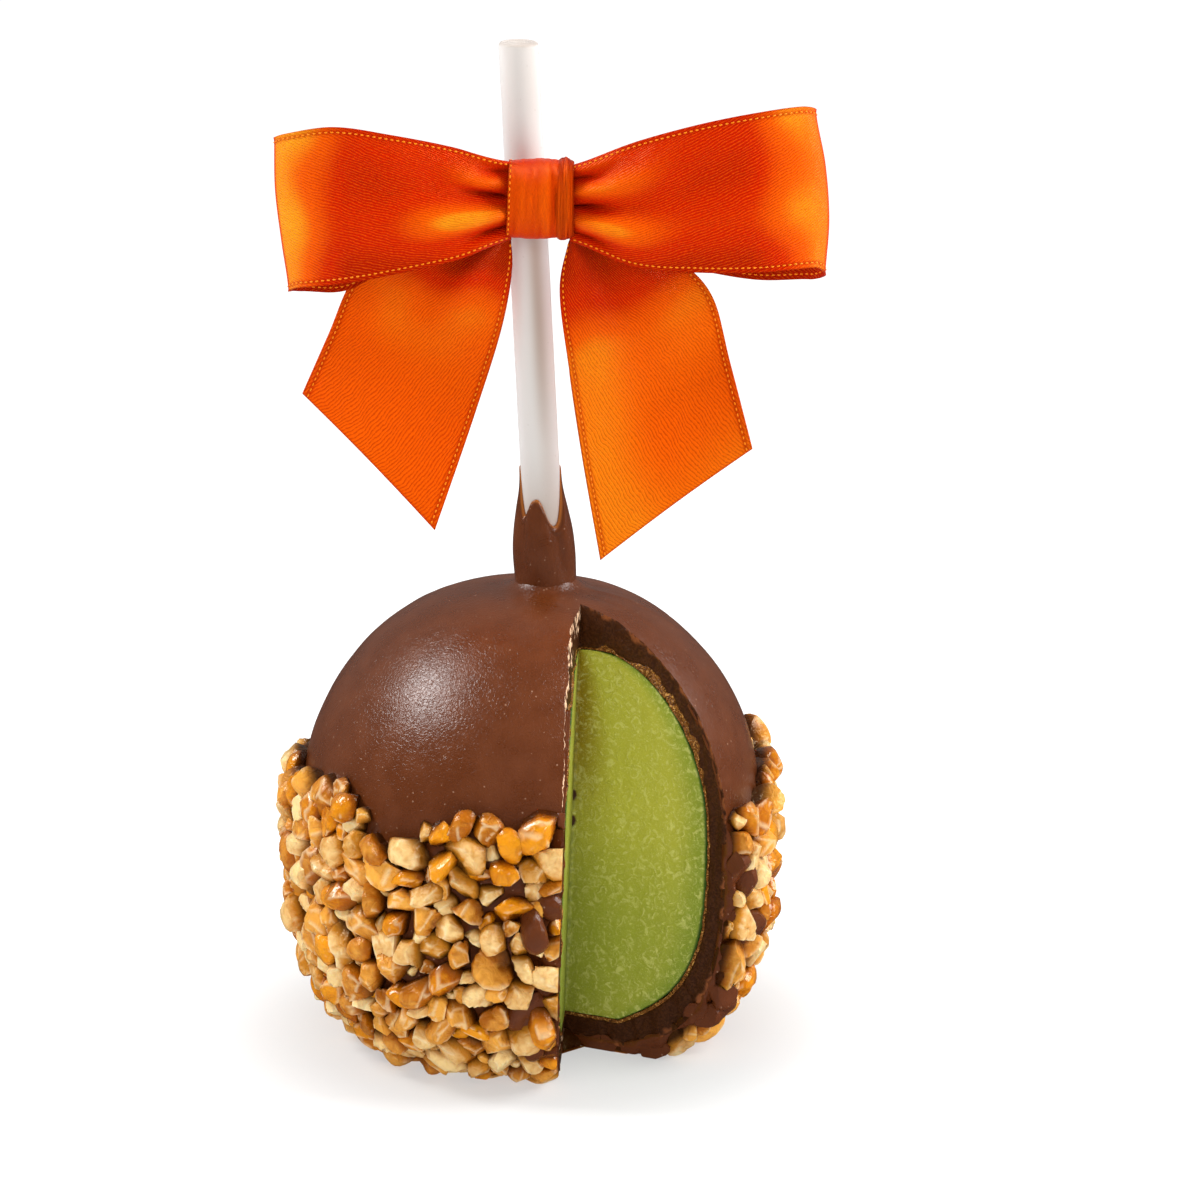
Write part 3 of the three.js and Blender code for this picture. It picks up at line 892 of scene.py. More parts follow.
@dataclass(frozen=True)
class Wedge:
    """The slice that was cut out: the room between two upright planes that meet in a leaning line.

    Directions are degrees in plan, from the front (-Y) towards +X.
    """

    apex: Triple = (7.87, -9.35, CENTRE)
    lean: float = 0.038
    right: float = 62.5
    left: float = 356.7

    def line(self) -> np.ndarray:
        """Unit direction of the line in which the two planes meet, upwards."""
        return unit(np.array([self.lean, 0.0, 1.0]))

    def outward(self, degrees: np.ndarray) -> np.ndarray:
        """Unit direction in plan, away from the line."""
        angle = np.radians(degrees)
        return np.stack([np.sin(angle), -np.cos(angle), np.zeros_like(angle)], axis=-1)

    def rays(self, degrees: np.ndarray, rise: np.ndarray) -> np.ndarray:
        """Unit directions from the apex: cos(rise) outwards plus sin(rise) along the line."""
        return unit(np.cos(rise)[..., None] * self.outward(degrees) + np.sin(rise)[..., None] * self.line())

    def face_normal(self, degrees: float, towards: float) -> np.ndarray:
        """Unit normal of a cut face, on the side that the direction called towards lies on."""
        normal = unit(np.cross(self.line(), self.outward(np.array(degrees))))
        return normal * np.sign(normal @ self.outward(np.array(towards)))

    def depth(self, points: np.ndarray) -> np.ndarray:
        """How far points are inside the wedge, from its nearer face.

        Args:
            points: any points.

        Returns:
            One distance for each point, negative outside the wedge.
        """
        from_apex = points - np.array(self.apex)
        right = from_apex @ self.face_normal(self.right, self.left)
        left = from_apex @ self.face_normal(self.left, self.right)
        return np.minimum(right, left)

    def push_out(self, points: np.ndarray) -> np.ndarray:
        """Moves the points that are inside the wedge straight back to its nearer face.

        Args:
            points: any points.

        Returns:
            The points, of which none is inside the wedge.
        """
        from_apex = points - np.array(self.apex)
        right_normal = self.face_normal(self.right, self.left)
        left_normal = self.face_normal(self.left, self.right)
        right, left = from_apex @ right_normal, from_apex @ left_normal
        inside = (right > 0) & (left > 0)
        nearer = (right < left)[..., None]
        shift = np.where(nearer, right[..., None] * right_normal, left[..., None] * left_normal)
        return points - np.where(inside[..., None], shift, 0.0)


WEDGE = Wedge()


@dataclass(frozen=True)
class Layer:
    """The outer surface of a layer of the apple, about the upright axis through its centre.

    Over the centre it is an ellipsoid, under it a squarer one cut flat, with a bell-shaped dimple
    round the stick. Sizes are millimetres.
    """

    radius: float
    over: float
    under: float
    squareness: float
    flat: float
    dimple: float
    mouth: float
    halvings: int = 34

    def field(self, points: np.ndarray) -> np.ndarray:
        """The bodies' implicit equation, less one.

        Args:
            points: any points.

        Returns:
            One value for each point, negative inside the layer and positive outside it.
        """
        across = np.hypot(points[..., 0], points[..., 1])
        height = points[..., 2] - CENTRE
        undimpled = height + self.dimple * bell(across, 0.0, self.mouth)
        upper = (across / self.radius) ** 2 + (undimpled / self.over) ** 2 - 1.0
        power = self.squareness
        lower = (across / self.radius) ** power + np.abs(undimpled / self.under) ** power - 1.0
        return np.maximum(np.where(undimpled > 0, upper, lower), (-self.flat - height) / self.under)

    def reach(self, origin: np.ndarray, rays: np.ndarray) -> np.ndarray:
        """Distance from an inner point to the surface along each ray, by halving a span over and over.

        Args:
            origin: the inner point.
            rays: unit directions.

        Returns:
            One distance for each ray.
        """
        near = np.zeros(rays.shape[:-1])
        far = np.full(rays.shape[:-1], 2.0 * CENTRE - 2.0)
        for _ in range(self.halvings):
            middle = (near + far) / 2
            inside = self.field(origin + middle[..., None] * rays) < 0
            near, far = np.where(inside, middle, near), np.where(inside, far, middle)
        return (near + far) / 2

    def normal(self, points: np.ndarray) -> np.ndarray:
        """Outward directions near the surface, from central differences of the field.

        Args:
            points: places near the surface.

        Returns:
            One unit vector for each point.
        """
        step = 0.05
        slopes = [self.field(points + step * axis) - self.field(points - step * axis) for axis in np.eye(3)]
        return unit(np.stack(slopes, axis=-1))


FLESH = Layer(39.9, 40.3, 39.5, 3.3, 39.2, 10.0, 16.2)
CHOCOLATE = Layer(43.9, 44.9, 46.0, 3.4, 44.6, 2.5, 14.4)


@dataclass(frozen=True)
class CutGrid:
    """Rays from the wedge's apex that cover everything but the wedge, from face to face.

    Columns crowd towards the two faces, where the edges are ragged.
    """

    rows: int = 300
    columns: int = 150

    def rise(self) -> np.ndarray:
        """Angles up along the line, from straight down to straight up, one for each row."""
        return np.linspace(-math.pi / 2, math.pi / 2, self.rows)

    def share(self) -> np.ndarray:
        """Shares of the way from the right face round to the left: a sine bends even steps to the ends."""
        even = np.linspace(0.0, 1.0, self.columns)
        return even - 0.94 * np.sin(2 * math.pi * even) / (2 * math.pi)

    def degrees(self, inset: np.ndarray | None = None) -> np.ndarray:
        """Directions of the rays in plan.

        Args:
            inset: how many degrees each row starts and ends short of its face, or None.

        Returns:
            Degrees, rows by columns.
        """
        start = np.full(self.rows, WEDGE.right)
        end = np.full(self.rows, WEDGE.left)
        if inset is not None:
            start, end = start + inset[0], end - inset[1]
        return start[:, None] + (end - start)[:, None] * self.share()

    def rays(self, inset: np.ndarray | None = None) -> np.ndarray:
        """Unit rays, rows by columns."""
        degrees = self.degrees(inset)
        return WEDGE.rays(degrees, np.broadcast_to(self.rise()[:, None], degrees.shape))


@dataclass(frozen=True)
class Apple:
    """The cut apple: flesh, caramel and the chocolate shell, each a closed piece."""

    grid: CutGrid = CutGrid()
    ragged: float = 0.34  # how far the shell's edge wanders, in millimetres
    runs: tuple[Triple, ...] = (
        (84.0, 5.0, 0.16),
        (104.0, 4.0, -0.10),
        (61.0, 4.0, -0.08),
        (-120.0, 6.0, 0.10),
    )
    pits: tuple[float, float] = (4.2, -0.9)  # heights of the two brown marks over the centre
    band_steps: int = 12
    face_steps: int = 70

    def setback(self, seed: int, broken: bool) -> np.ndarray:
        """Degrees by which each row of a wall stops short of the right face and of the left one.

        Every wall wanders a little. The outer one is also broken back along the left face, by about a
        millimetre near the top and less below.

        Args:
            seed: picks the wandering.
            broken: whether it is the outer wall.

        Returns:
            The right face's degrees and the left one's, one for each row.
        """
        rise = self.grid.rise()
        span = np.maximum(np.cos(rise) * 40.0, 4.0)
        sides = []
        for side in range(2):
            line = np.stack([rise * 42.0, np.full_like(rise, 9.0 * side), np.zeros_like(rise)], axis=-1)
            wander = self.ragged * np.clip(rough(line, 2.2, seed + side, 4) * 0.9 + 0.35, 0.0, 1.4)
            if broken and side == 1:
                wander = wander + 0.30 + 0.75 * ease(rise, 0.1, 0.85) + 0.20 * rough(line, 1.1, seed + 9, 3)
            sides.append(np.degrees(wander / span))
        return np.array(sides) * ease(np.cos(rise), 0.02, 0.25)

    def caramel_share(self, rise: np.ndarray, seed: int) -> np.ndarray:
        """Share of the coat that is caramel: thick round the shoulder, thin elsewhere, torn at its edge.

        Args:
            rise: angles up along the wedge's line.
            seed: picks the torn edge.

        Returns:
            One share for each angle.
        """
        shoulder = ease(rise, 0.25, 0.70) * (1.0 - ease(rise, 1.05, 1.40))
        shoulder = 0.12 + 0.26 * shoulder - 0.07 * ease(rise, 1.1, 1.5)
        line = np.stack([rise * 42.0, np.full_like(rise, 5.0), np.zeros_like(rise)], axis=-1)
        return np.clip(shoulder + 0.13 * rough(line, 2.6, seed, 4) * ease(rise, 0.1, 0.5), 0.05, 0.62)

    def relief(self, points: np.ndarray, normal: np.ndarray, height: np.ndarray) -> np.ndarray:
        """Moves points along one normal by a height in millimetres."""
        return points + height[..., None] * normal

    def band(
        self, inner: np.ndarray, outer: np.ndarray, normal: np.ndarray, height: float, seed: int
    ) -> np.ndarray:
        """A grid across a cut band, from its inner border to its outer one.

        Points lie on straight lines between the borders, and stand off the face by noise that fades at
        both borders.

        Args:
            inner: the inner border.
            outer: the outer border.
            normal: the cut face's normal.
            height: how far the noise stands off, in millimetres.
            seed: picks the noise.

        Returns:
            The grid's points.
        """
        share = np.linspace(0.0, 1.0, self.band_steps)[None, :, None]
        points = inner[:, None] + (outer - inner)[:, None] * share
        fade = np.sin(math.pi * share[..., 0]) ** 0.5
        streaks = rough(points * np.array([1.0, 1.0, 0.45]), 1.5, seed, 3)
        return self.relief(points, normal, height * streaks * fade)

    def build_flesh(self) -> bpy.types.Object:
        """The flesh: its skin side and its two cut faces, lightly furrowed."""
        apex = np.array(WEDGE.apex)
        grid = CutGrid(180, 60)
        rays = grid.rays()
        skin = apex + FLESH.reach(apex, rays)[..., None] * rays
        up = ease(skin[..., 2], CENTRE - 38, CENTRE + 38)
        patches = [Patch(skin, {"depth": np.ones(skin.shape[:2]), "up": up})]
        poles = skin[0, 0], skin[-1, 0]
        lift = (np.sin(grid.rise()) + 1) / 2
        core = poles[0] + (poles[1] - poles[0]) * lift[:, None]
        share = np.linspace(0.0, 1.0, self.face_steps) ** 0.8
        for column, side, other in ((0, WEDGE.right, WEDGE.left), (-1, WEDGE.left, WEDGE.right)):
            border = skin[:, column]
            points = core[:, None] + (border - core)[:, None] * share[None, :, None]
            away = np.linalg.norm(border - core, axis=-1)[:, None] * (1 - share)
            fade = ease(share, 0.0, 0.06)[None, :] * ease(away, 0.0, 0.8)
            sunk = 0.28 * (1 - ease(away, 0.0, 0.9)) * ease(share, 0.0, 0.3)
            height = 0.10 * rough(points, 3.2, 31 + column, 3) - sunk
            height = height * np.where(away < 0.8, 1.0, fade)
            height[:, [0, -1]] = 0.0
            height[[0, -1]] = 0.0
            points = self.relief(points, WEDGE.face_normal(side, other), height)
            depth = np.broadcast_to(share[None, :], height.shape)
            face_up = ease(points[..., 2], CENTRE - 38, CENTRE + 38)
            out = np.broadcast_to(away.max(axis=1, keepdims=True) - away, height.shape)
            level = points[..., 2] - CENTRE
            pit = sum(bell(level, where, 1.2) for where in self.pits) * bell(out, 0.0, 0.9)
            shade = np.full(height.shape, 0.0 if column == 0 else 0.38)
            patches.append(Patch(points, {"depth": depth, "up": face_up, "pit": pit, "shade": shade}))
        return weld("apple_flesh", patches, [Flesh().material()])

    def walls(self) -> tuple[np.ndarray, np.ndarray, np.ndarray]:
        """The coat's surface on the flesh, the caramel's outside and the chocolate's outside."""
        apex = np.array(WEDGE.apex)
        inner, outer = self.setback(11, False), self.setback(11, True)
        share = self.caramel_share(self.grid.rise(), 21)[:, None]
        walls = []
        for part in (0.0, share, 1.0):
            rays = self.grid.rays(mix(inner, outer, np.squeeze(part)))
            near, far = FLESH.reach(apex, rays) + 0.10, CHOCOLATE.reach(apex, rays)
            walls.append(apex + mix(near, far, part)[..., None] * rays)
        return tuple(walls)

    def dome_relief(self, points: np.ndarray) -> np.ndarray:
        """The poured chocolate's unevenness: slow swells, soft runs from the collar, and a fillet round it.

        Args:
            points: places on the dome.

        Returns:
            One height for each point, in millimetres.
        """
        swell = 0.16 * noise(points, 17.0, 3) + 0.06 * noise(points, 6.0, 4)
        x, y = points[..., 0] - 3.0, points[..., 1]
        away, round_it = np.hypot(x, y), np.degrees(np.arctan2(x, -y))
        run = np.zeros_like(away)
        for angle, width, strength in self.runs:
            bend = angle + 0.35 * (away - 10.0)
            run = run + strength * bell((round_it - bend) * away, 0.0, width * 12.0)
        run = run * ease(away, 6.0, 9.0) * (1 - ease(away, 24.0, 38.0))
        on_top = ease(points[..., 2], CENTRE + 20.0, CENTRE + 34.0)
        fillet = 2.6 * np.exp(-np.maximum(away - 5.2, 0.0) / 1.3) * on_top
        return (swell + run) * ease(points[..., 2], 4.0, 12.0) + fillet

    def build_coat(self) -> list[bpy.types.Object]:
        """The caramel and the chocolate shell, with their bands at the two cut faces."""
        inner_wall, middle_wall, outer_wall = self.walls()
        outer_wall = outer_wall + self.dome_relief(outer_wall)[..., None] * CHOCOLATE.normal(outer_wall)
        caramel_faces, chocolate_faces = [], []
        for column, side, other in ((0, WEDGE.right, WEDGE.left), (-1, WEDGE.left, WEDGE.right)):
            normal = WEDGE.face_normal(side, other)
            torn = self.band(inner_wall[:, column], middle_wall[:, column], normal, 0.42, 41 + column)
            caramel_faces.append(Patch(torn))
            sliced = self.band(middle_wall[:, column], outer_wall[:, column], normal, 0.24, 51 + column)
            rows = np.broadcast_to(np.linspace(0, 1, self.band_steps), sliced.shape[:2])
            # painted highlight along the outer edge of each cut face
            rim = ease(rows + 0.16 * rough(sliced, 1.6, 61 + column), 0.84, 0.99)
            # pale crumbs on the left face's outer edge, which also paint the light that edge catches
            crumb = ease(noise(sliced, 0.55, 71) + 1.5 * rows, 1.15, 1.40) * (1.0 if column else 0.0)
            chocolate_faces.append(Patch(sliced, {"rim": rim, "crumb": crumb}, look=1))
        caramel_piece = weld(
            "caramel_layer",
            [Patch(middle_wall), Patch(inner_wall[:, ::-1]), *caramel_faces],
            [Caramel().material()],
        )
        chocolate_piece = weld(
            "chocolate_shell",
            [Patch(outer_wall), Patch(middle_wall[:, ::-1]), *chocolate_faces],
            [MilkChocolate().material(), CutChocolate().material()],
        )
        return [caramel_piece, chocolate_piece]


# ---------------------------------------------------------------- the stick and the chocolate round it


@dataclass(frozen=True)
class Stick:
    """The rolled paper stick, which leans a little to -X."""

    radius: float = 3.7
    rim: float = 0.7
    foot: float = 48.0
    top: float = 192.8
    columns: int = 72

    @staticmethod
    def axis(height: np.ndarray) -> np.ndarray:
        """X of the stick's middle at a height."""
        return 3.06 - 0.0465 * (height - 88.0)

    def build(self) -> bpy.types.Object:
        """A turned rod with a rounded rim, faint rings of rolled paper on its top, leaned by shearing."""
        bend = np.linspace(0.0, math.pi / 2, 9)
        turn = np.stack([np.cos(bend), np.sin(bend)], -1)
        corner = np.array([self.radius, self.top]) - self.rim * (1 - turn)
        across = np.linspace(self.radius - self.rim, 0.0, 40)[1:]
        coil = -0.16 * ease(across, self.radius - self.rim, 1.9) + 0.05 * np.sin(across * 13.0)
        face = np.stack([across, self.top + coil], -1)
        side_heights = np.linspace(self.foot, self.top - self.rim, 90)[:-1]
        side = np.stack([np.full_like(side_heights, self.radius), side_heights], -1)
        profile = np.concatenate([[[0.0, self.foot]], side, corner, face])
        angle = np.linspace(0, 2 * math.pi, self.columns, endpoint=False)
        radius, height = profile[:, :1], np.broadcast_to(profile[:, 1:], (len(profile), self.columns))
        spiral = 0.012 * np.sin(2 * angle + height * 0.5) * ease(radius, 2.8, 3.6)
        x = (radius + spiral) * np.sin(angle) + self.axis(height)
        y = -(radius + spiral) * np.cos(angle)
        streak = bell(turned(np.degrees(angle) - 18.0), 0.0, 24.0)
        flank = bell(turned(np.degrees(angle) - 45.0), 0.0, 40.0)
        # Painted shade and reflection: chocolate brown reflected low down by the collar, a darker reflected
        # streak down the front, a greyer tone above the knot, most on the front right, and a darker top face.
        stain = 0.44 * (1 - ease(height, 99.0, 118.0))
        stain = stain + 0.56 * streak * ease(height, 98.0, 144.0) * (1 - ease(height, 156.0, 158.0))
        stain = stain + 0.08 * (1.0 + flank) * ease(height, 172.0, 184.0) + 0.30 * ease(height, 192.0, 192.6)
        points = np.stack([x, y, height], -1)
        return weld("paper_stick", [Patch(points, {"stain": stain}, ring=True)], [RolledPaper().material()])


STICK = Stick()


@dataclass(frozen=True)
class Collar:
    """The chocolate that climbed the stick, with its torn upper edge.

    Attributes:
        foot: height of its lower end, inside the dome.
        radii: its outer radius at even heights from the foot to the highest tongue.
        low: height of the edge between the tongues.
        tongues: where the edge climbs: degrees from the front, height, and width in degrees.
        creases: grooves that run down from the low parts of the edge: degrees, depth and width in degrees.
    """

    foot: float = 83.0
    high: float = 112.4
    radii: tuple[float, ...] = (5.6, 5.65, 5.85, 5.95, 5.65, 4.9, 4.15, 3.95)
    low: float = 101.0
    tongues: tuple[Triple, ...] = (
        (-90.0, 11.4, 24.0), (-30.0, 4.1, 20.0), (-4.0, 4.4, 20.0), (90.0, 11.4, 28.0), (180.0, 6.0, 30.0),
        (228.0, 2.6, 14.0),
    )
    creases: tuple[Triple, ...] = ((30.0, 1.0, 16.0), (-52.0, 0.75, 14.0), (140.0, 0.6, 16.0))
    columns: int = 180
    rows: int = 90

    def edge(self, degrees: np.ndarray) -> np.ndarray:
        """Height of the torn edge: the low line plus a bell for each tongue, and fine raggedness.

        Args:
            degrees: directions from the front, from -180 to 180.

        Returns:
            One height for each direction.
        """
        height = np.full_like(degrees, self.low)
        for where, rise, width in self.tongues:
            height = height + rise * bell(turned(degrees - where), 0.0, width)
        line = np.stack([degrees / 9.0, degrees * 0, degrees * 0], -1)
        return height + 0.28 * rough(line, 1.3, 71, 3) * np.sin(np.radians(degrees / 2.0)) ** 2

    def build(self) -> bpy.types.Object:
        """Winds a closed profile round the stick: up the outside, over the thin edge and down inside."""
        degrees = np.linspace(0.0, 360.0, self.columns, endpoint=False)
        edge = self.edge(turned(degrees))[None, :]
        up = np.linspace(0.0, 1.0, self.rows)[:, None] ** 0.8
        height = self.foot + (edge - self.foot) * up
        outer = along(self.radii, (height - self.foot) / (self.high - self.foot))
        inside = STICK.radius + 0.02
        below = edge - height
        taper = inside + 0.32 + 1.15 * np.sqrt(below + 0.001) * ease(below, -0.4, 1.2)
        soft = 0.25
        outer = -soft * np.log(np.exp(-outer / soft) + np.exp(-taper / soft))
        angle = np.radians(degrees)
        place = np.stack([np.cos(angle) * outer, np.sin(angle) * outer, height * 0.3], -1)
        outer = outer + 0.10 * rough(place, 2.6, 81, 2) * ease(below, 0.3, 3.0)
        for where, deep, width in self.creases:
            away = turned(degrees - where - 1.2 * (100.0 - height))
            outer = outer - deep * bell(away, 0.0, width) * ease(below, 0.2, 2.0) * ease(height, 88.0, 97.0)
        thin = 1.0 - ease(below, 0.1, 0.65)
        heights = np.concatenate([height, height[::-1], height[:1]])
        radius = np.concatenate([outer, np.full_like(outer, inside), outer[:1]])
        thin = np.concatenate([thin, thin[::-1], thin[:1]])
        x = radius * np.sin(angle) + STICK.axis(heights)
        points = np.stack([x, -radius * np.cos(angle), heights], -1)
        patch = Patch(points, {"thin": thin}, ring=True)
        return weld("chocolate_collar", [patch], [MilkChocolate().material()])


# ---------------------------------------------------------------- the nut coat


@dataclass(frozen=True)
class NutKind:
    """One kind of chopped nut.

    Attributes:
        name: the piece's name.
        share: how often it comes.
        breaks: how many flat breaks a chunk has.
        soft: how rounded its edges are.
        dents: how many dents it has.
        finish: what it wears.
    """

    name: str
    share: float
    breaks: int
    soft: float
    dents: int
    finish: Finish


NUT_KINDS = (
    NutKind("nuts_cream", 0.30, 9, 0.014, 2, ChoppedNut("nut_cream", (1.0, 0.71, 0.31), (0.62, 0.24, 0.016))),
    NutKind("nuts_tan", 0.42, 10, 0.012, 2, ChoppedNut("nut_tan", (0.92, 0.42, 0.058), (0.46, 0.125, 0.001))),
    NutKind(
        "nuts_amber", 0.28, 9, 0.030, 1,
        ChoppedNut("nut_amber", (0.90, 0.34, 0.008), (0.46, 0.110, 0.0005), gloss=0.20, coat=0.6),
    ),
)
COATED = NutKind("nuts_in_chocolate", 0.0, 8, 0.07, 3, MilkChocolate())


@dataclass(frozen=True)
class NutSize:
    """One size of chopped nut.

    Attributes:
        half: its half length.
        spread: how far that varies.
        spacing: how far apart its chunks lie.
        ride: how high a chunk's middle lies over the chocolate.
        cells: faces along each edge of the cube that a chunk is made from.
    """

    half: float
    spread: float
    spacing: float
    ride: float
    cells: int


@dataclass(frozen=True)
class NutCoat:
    """Chopped nuts stuck into the chocolate, from the apple's foot to a ragged line over its centre."""

    sizes: tuple[NutSize, ...] = (
        NutSize(3.4, 0.8, 4.3, 1.2, 6), NutSize(2.6, 0.6, 3.2, 0.9, 5), NutSize(1.8, 0.4, 2.2, 0.6, 4),
    )
    stretches: tuple[tuple[float, float], ...] = ((1.0, 1.35), (0.72, 1.0), (0.70, 0.95))
    seed: int = 5
    tries: int = 30000
    shapes: int = 16

    @staticmethod
    def line(degrees: np.ndarray) -> np.ndarray:
        """Height over the centre that the nuts reach: it steps up and down as the dip ended.

        Args:
            degrees: directions from the front.

        Returns:
            One height for each direction.
        """
        angle = np.radians(degrees)
        waves = 0.3 * np.sin(7 * angle + 1.0) + 0.3 * np.sin(11 * angle)
        dip = 9.5 * bell(degrees, -34.0, 9.0) + 2.0 * bell(degrees, -5.0, 7.0)
        right_dip = 6.5 * bell(degrees, 62.0, 14.0) + 3.4 * ease(np.abs(degrees), 60.0, 80.0)
        return 10.0 + waves - dip - right_dip

    def candidates(self, rng: np.random.Generator) -> np.ndarray:
        """Random points all over the chocolate, under the nut line and outside the wedge.

        Args:
            rng: the source of chance.

        Returns:
            The points.
        """
        rays = unit(rng.normal(size=(self.tries, 3)))
        centre = np.array([0.0, 0.0, CENTRE])
        points = centre + CHOCOLATE.reach(centre, rays)[:, None] * rays
        degrees = bearing(points)
        below = points[:, 2] - CENTRE < self.line(degrees) + rng.normal(size=len(points)) * 0.4
        return points[below & (WEDGE.depth(points) < -0.4)]

    def crowding(self, points: np.ndarray) -> np.ndarray:
        """How much further apart the chunks lie: sparser at the front near the wedge, close at the sides.

        Args:
            points: places on the chocolate.

        Returns:
            One factor for each point.
        """
        degrees = bearing(points)
        front = bell(degrees, -12.0, 26.0) * ease(points[:, 2], 14.0, 30.0)
        by_cut = bell(degrees, 68.0, 12.0)
        return 0.90 + 0.20 * front + 0.12 * by_cut

    def scatter(self, rng: np.random.Generator) -> tuple[np.ndarray, np.ndarray]:
        """Places chunks of each size in turn where no placed one is too near.

        Args:
            rng: the source of chance.

        Returns:
            The points, and the number of each one's size.
        """
        placed, sizes, reaches = np.empty((0, 3)), np.empty(0, int), np.empty(0)
        for number, size in enumerate(self.sizes):
            points = self.candidates(rng)
            reach = size.spacing * self.crowding(points)
            for point, own in zip(points, reach):
                if len(placed) and (np.linalg.norm(placed - point, axis=1) < (reaches + own) / 2).any():
                    continue
                placed = np.vstack([placed, point])
                sizes, reaches = np.append(sizes, number), np.append(reaches, own)
        return placed, sizes

    def chunks(
        self, kind: NutKind, size: NutSize, points: np.ndarray, rng: np.random.Generator
    ) -> tuple[np.ndarray, np.ndarray, dict[str, np.ndarray]]:
        """Broken chunks at the given points, each one of a few shapes, stretched and turned.

        A chunk lies roughly flat on the chocolate, with its longest side turned at random.

        Args:
            kind: which nut.
            size: which size.
            points: where the chunks lie on the chocolate.
            rng: the source of chance.

        Returns:
            Vertices, faces and masks.
        """
        up = CHOCOLATE.normal(points)
        verts, faces, lifts, tones, edges, start = [], [], [], [], [], 0
        for group in np.array_split(rng.permutation(len(points)), self.shapes):
            count = len(group)
            shape, shape_faces, edge = broken_chunk(rng, size.cells, kind.breaks, kind.soft, kind.dents)
            stretch = np.stack([rng.uniform(*limits, count) for limits in self.stretches], axis=-1)
            half = size.half + size.spread * np.clip(rng.normal(size=count), -1.4, 1.8) * 0.6
            local = shape[None] * stretch[:, None] * half[:, None, None]
            tilt = unit(up[group] + 0.45 * rng.normal(size=(count, 3)))
            side = unit(np.cross(tilt, unit(rng.normal(size=(count, 3)))))
            basis = np.stack([side, np.cross(tilt, side), tilt], axis=1)
            ride = size.ride + rng.uniform(-0.6, 0.7, count)
            turned = np.einsum("cvk,ckj->cvj", local, basis)
            world = (points[group] + up[group] * ride[:, None])[:, None] + turned
            world = world + unit(turned) * (0.16 * noise(world, 1.5, 7))[..., None]
            height = np.einsum("cvk,ck->cv", world - points[group][:, None], up[group])
            world = WEDGE.push_out(world)
            world[..., 2] = np.maximum(world[..., 2], 0.05 + 0.2 * rng.random((count, 1)))
            verts.append(world.reshape(-1, 3))
            lifts.append((height / height.max(axis=1, keepdims=True)).ravel())
            edges.append(np.tile(edge, count))
            tones.append(np.repeat(np.clip(rng.normal(0.30, 0.30, count), -0.2, 0.9), len(shape)))
            first = start + np.arange(count)[:, None, None] * len(shape)
            faces.append((shape_faces[None] + first).reshape(-1, 4))
            start += count * len(shape)
        masks = {"tone": np.concatenate(tones), "lift": np.concatenate(lifts), "edge": np.concatenate(edges)}
        return np.concatenate(verts), np.concatenate(faces), masks

    def build_nuts(self) -> list[bpy.types.Object]:
        """One piece for each kind of nut."""
        rng = np.random.default_rng(self.seed)
        places, sizes = self.scatter(rng)
        kinds = rng.choice(len(NUT_KINDS), size=len(places), p=[kind.share for kind in NUT_KINDS])
        by_cut = (0.25 + 0.3 * (places[:, 0] > WEDGE.apex[0])) * ease(WEDGE.depth(places), -9.0, -2.0)
        kinds = np.where(rng.random(len(places)) < by_cut, len(NUT_KINDS), kinds)
        pieces = []
        for number, kind in enumerate((*NUT_KINDS, COATED)):
            parts, start = [], 0
            for size_number, size in enumerate(self.sizes):
                chosen = places[(kinds == number) & (sizes == size_number)]
                points, faces, masks = self.chunks(kind, size, chosen, rng)
                parts.append((points, faces + start, masks))
                start += len(points)
            points = np.concatenate([part[0] for part in parts])
            faces = np.concatenate([part[1] for part in parts])
            masks = {key: np.concatenate([part[2][key] for part in parts]) for key in parts[0][2]}
            mesh = raw_mesh(kind.name, points, faces, masks)
            mesh.set_sharp_from_angle(angle=math.radians(34.0))
            mesh.materials.append(kind.finish.material())
            pieces.append(link(kind.name, mesh))
        return pieces

    def build_bed(self) -> bpy.types.Object:
        """The chocolate that the nuts stick in: a lumpy jacket on the shell, thinning out at the nut line."""
        grid = CutGrid(260, 220)
        apex = np.array(WEDGE.apex)
        rays = grid.rays()
        base = apex + CHOCOLATE.reach(apex, rays)[..., None] * rays
        normal = CHOCOLATE.normal(base)
        degrees = bearing(base)
        fade = ease(self.line(degrees) + 1.5 - (base[..., 2] - CENTRE), 0.0, 6.0)
        lumps = 0.35 + 0.5 * rough(base, 4.2, 91, 3) + 0.2 * noise(base, 1.3, 92)
        by_cut = 1.2 * ease(WEDGE.depth(base), -6.0, -0.5) * (0.6 + rough(base, 2.4, 93, 3))
        depth = -0.5 + fade * (0.5 + np.clip(lumps + by_cut, 0.1, 2.2))
        outer = base + normal * depth[..., None]
        outer[..., 2] = np.maximum(outer[..., 2], 0.35)
        inner = base - normal * 0.9
        keep = int(grid.rows * 0.78)
        outer, inner = outer[:keep], inner[:keep]
        rims = [(inner[:, 0], outer[:, 0]), (inner[:, -1], outer[:, -1]), (inner[-1], outer[-1])]
        patches = [Patch(outer), Patch(inner[:, ::-1]), *(Patch(np.stack(rim)) for rim in rims)]
        return weld("nut_bed", patches, [MilkChocolate().material()])


# ---------------------------------------------------------------- the bow


class Side(Enum):
    """Which half of the bow: its sign is the direction along X."""

    LEFT = -1
    RIGHT = 1


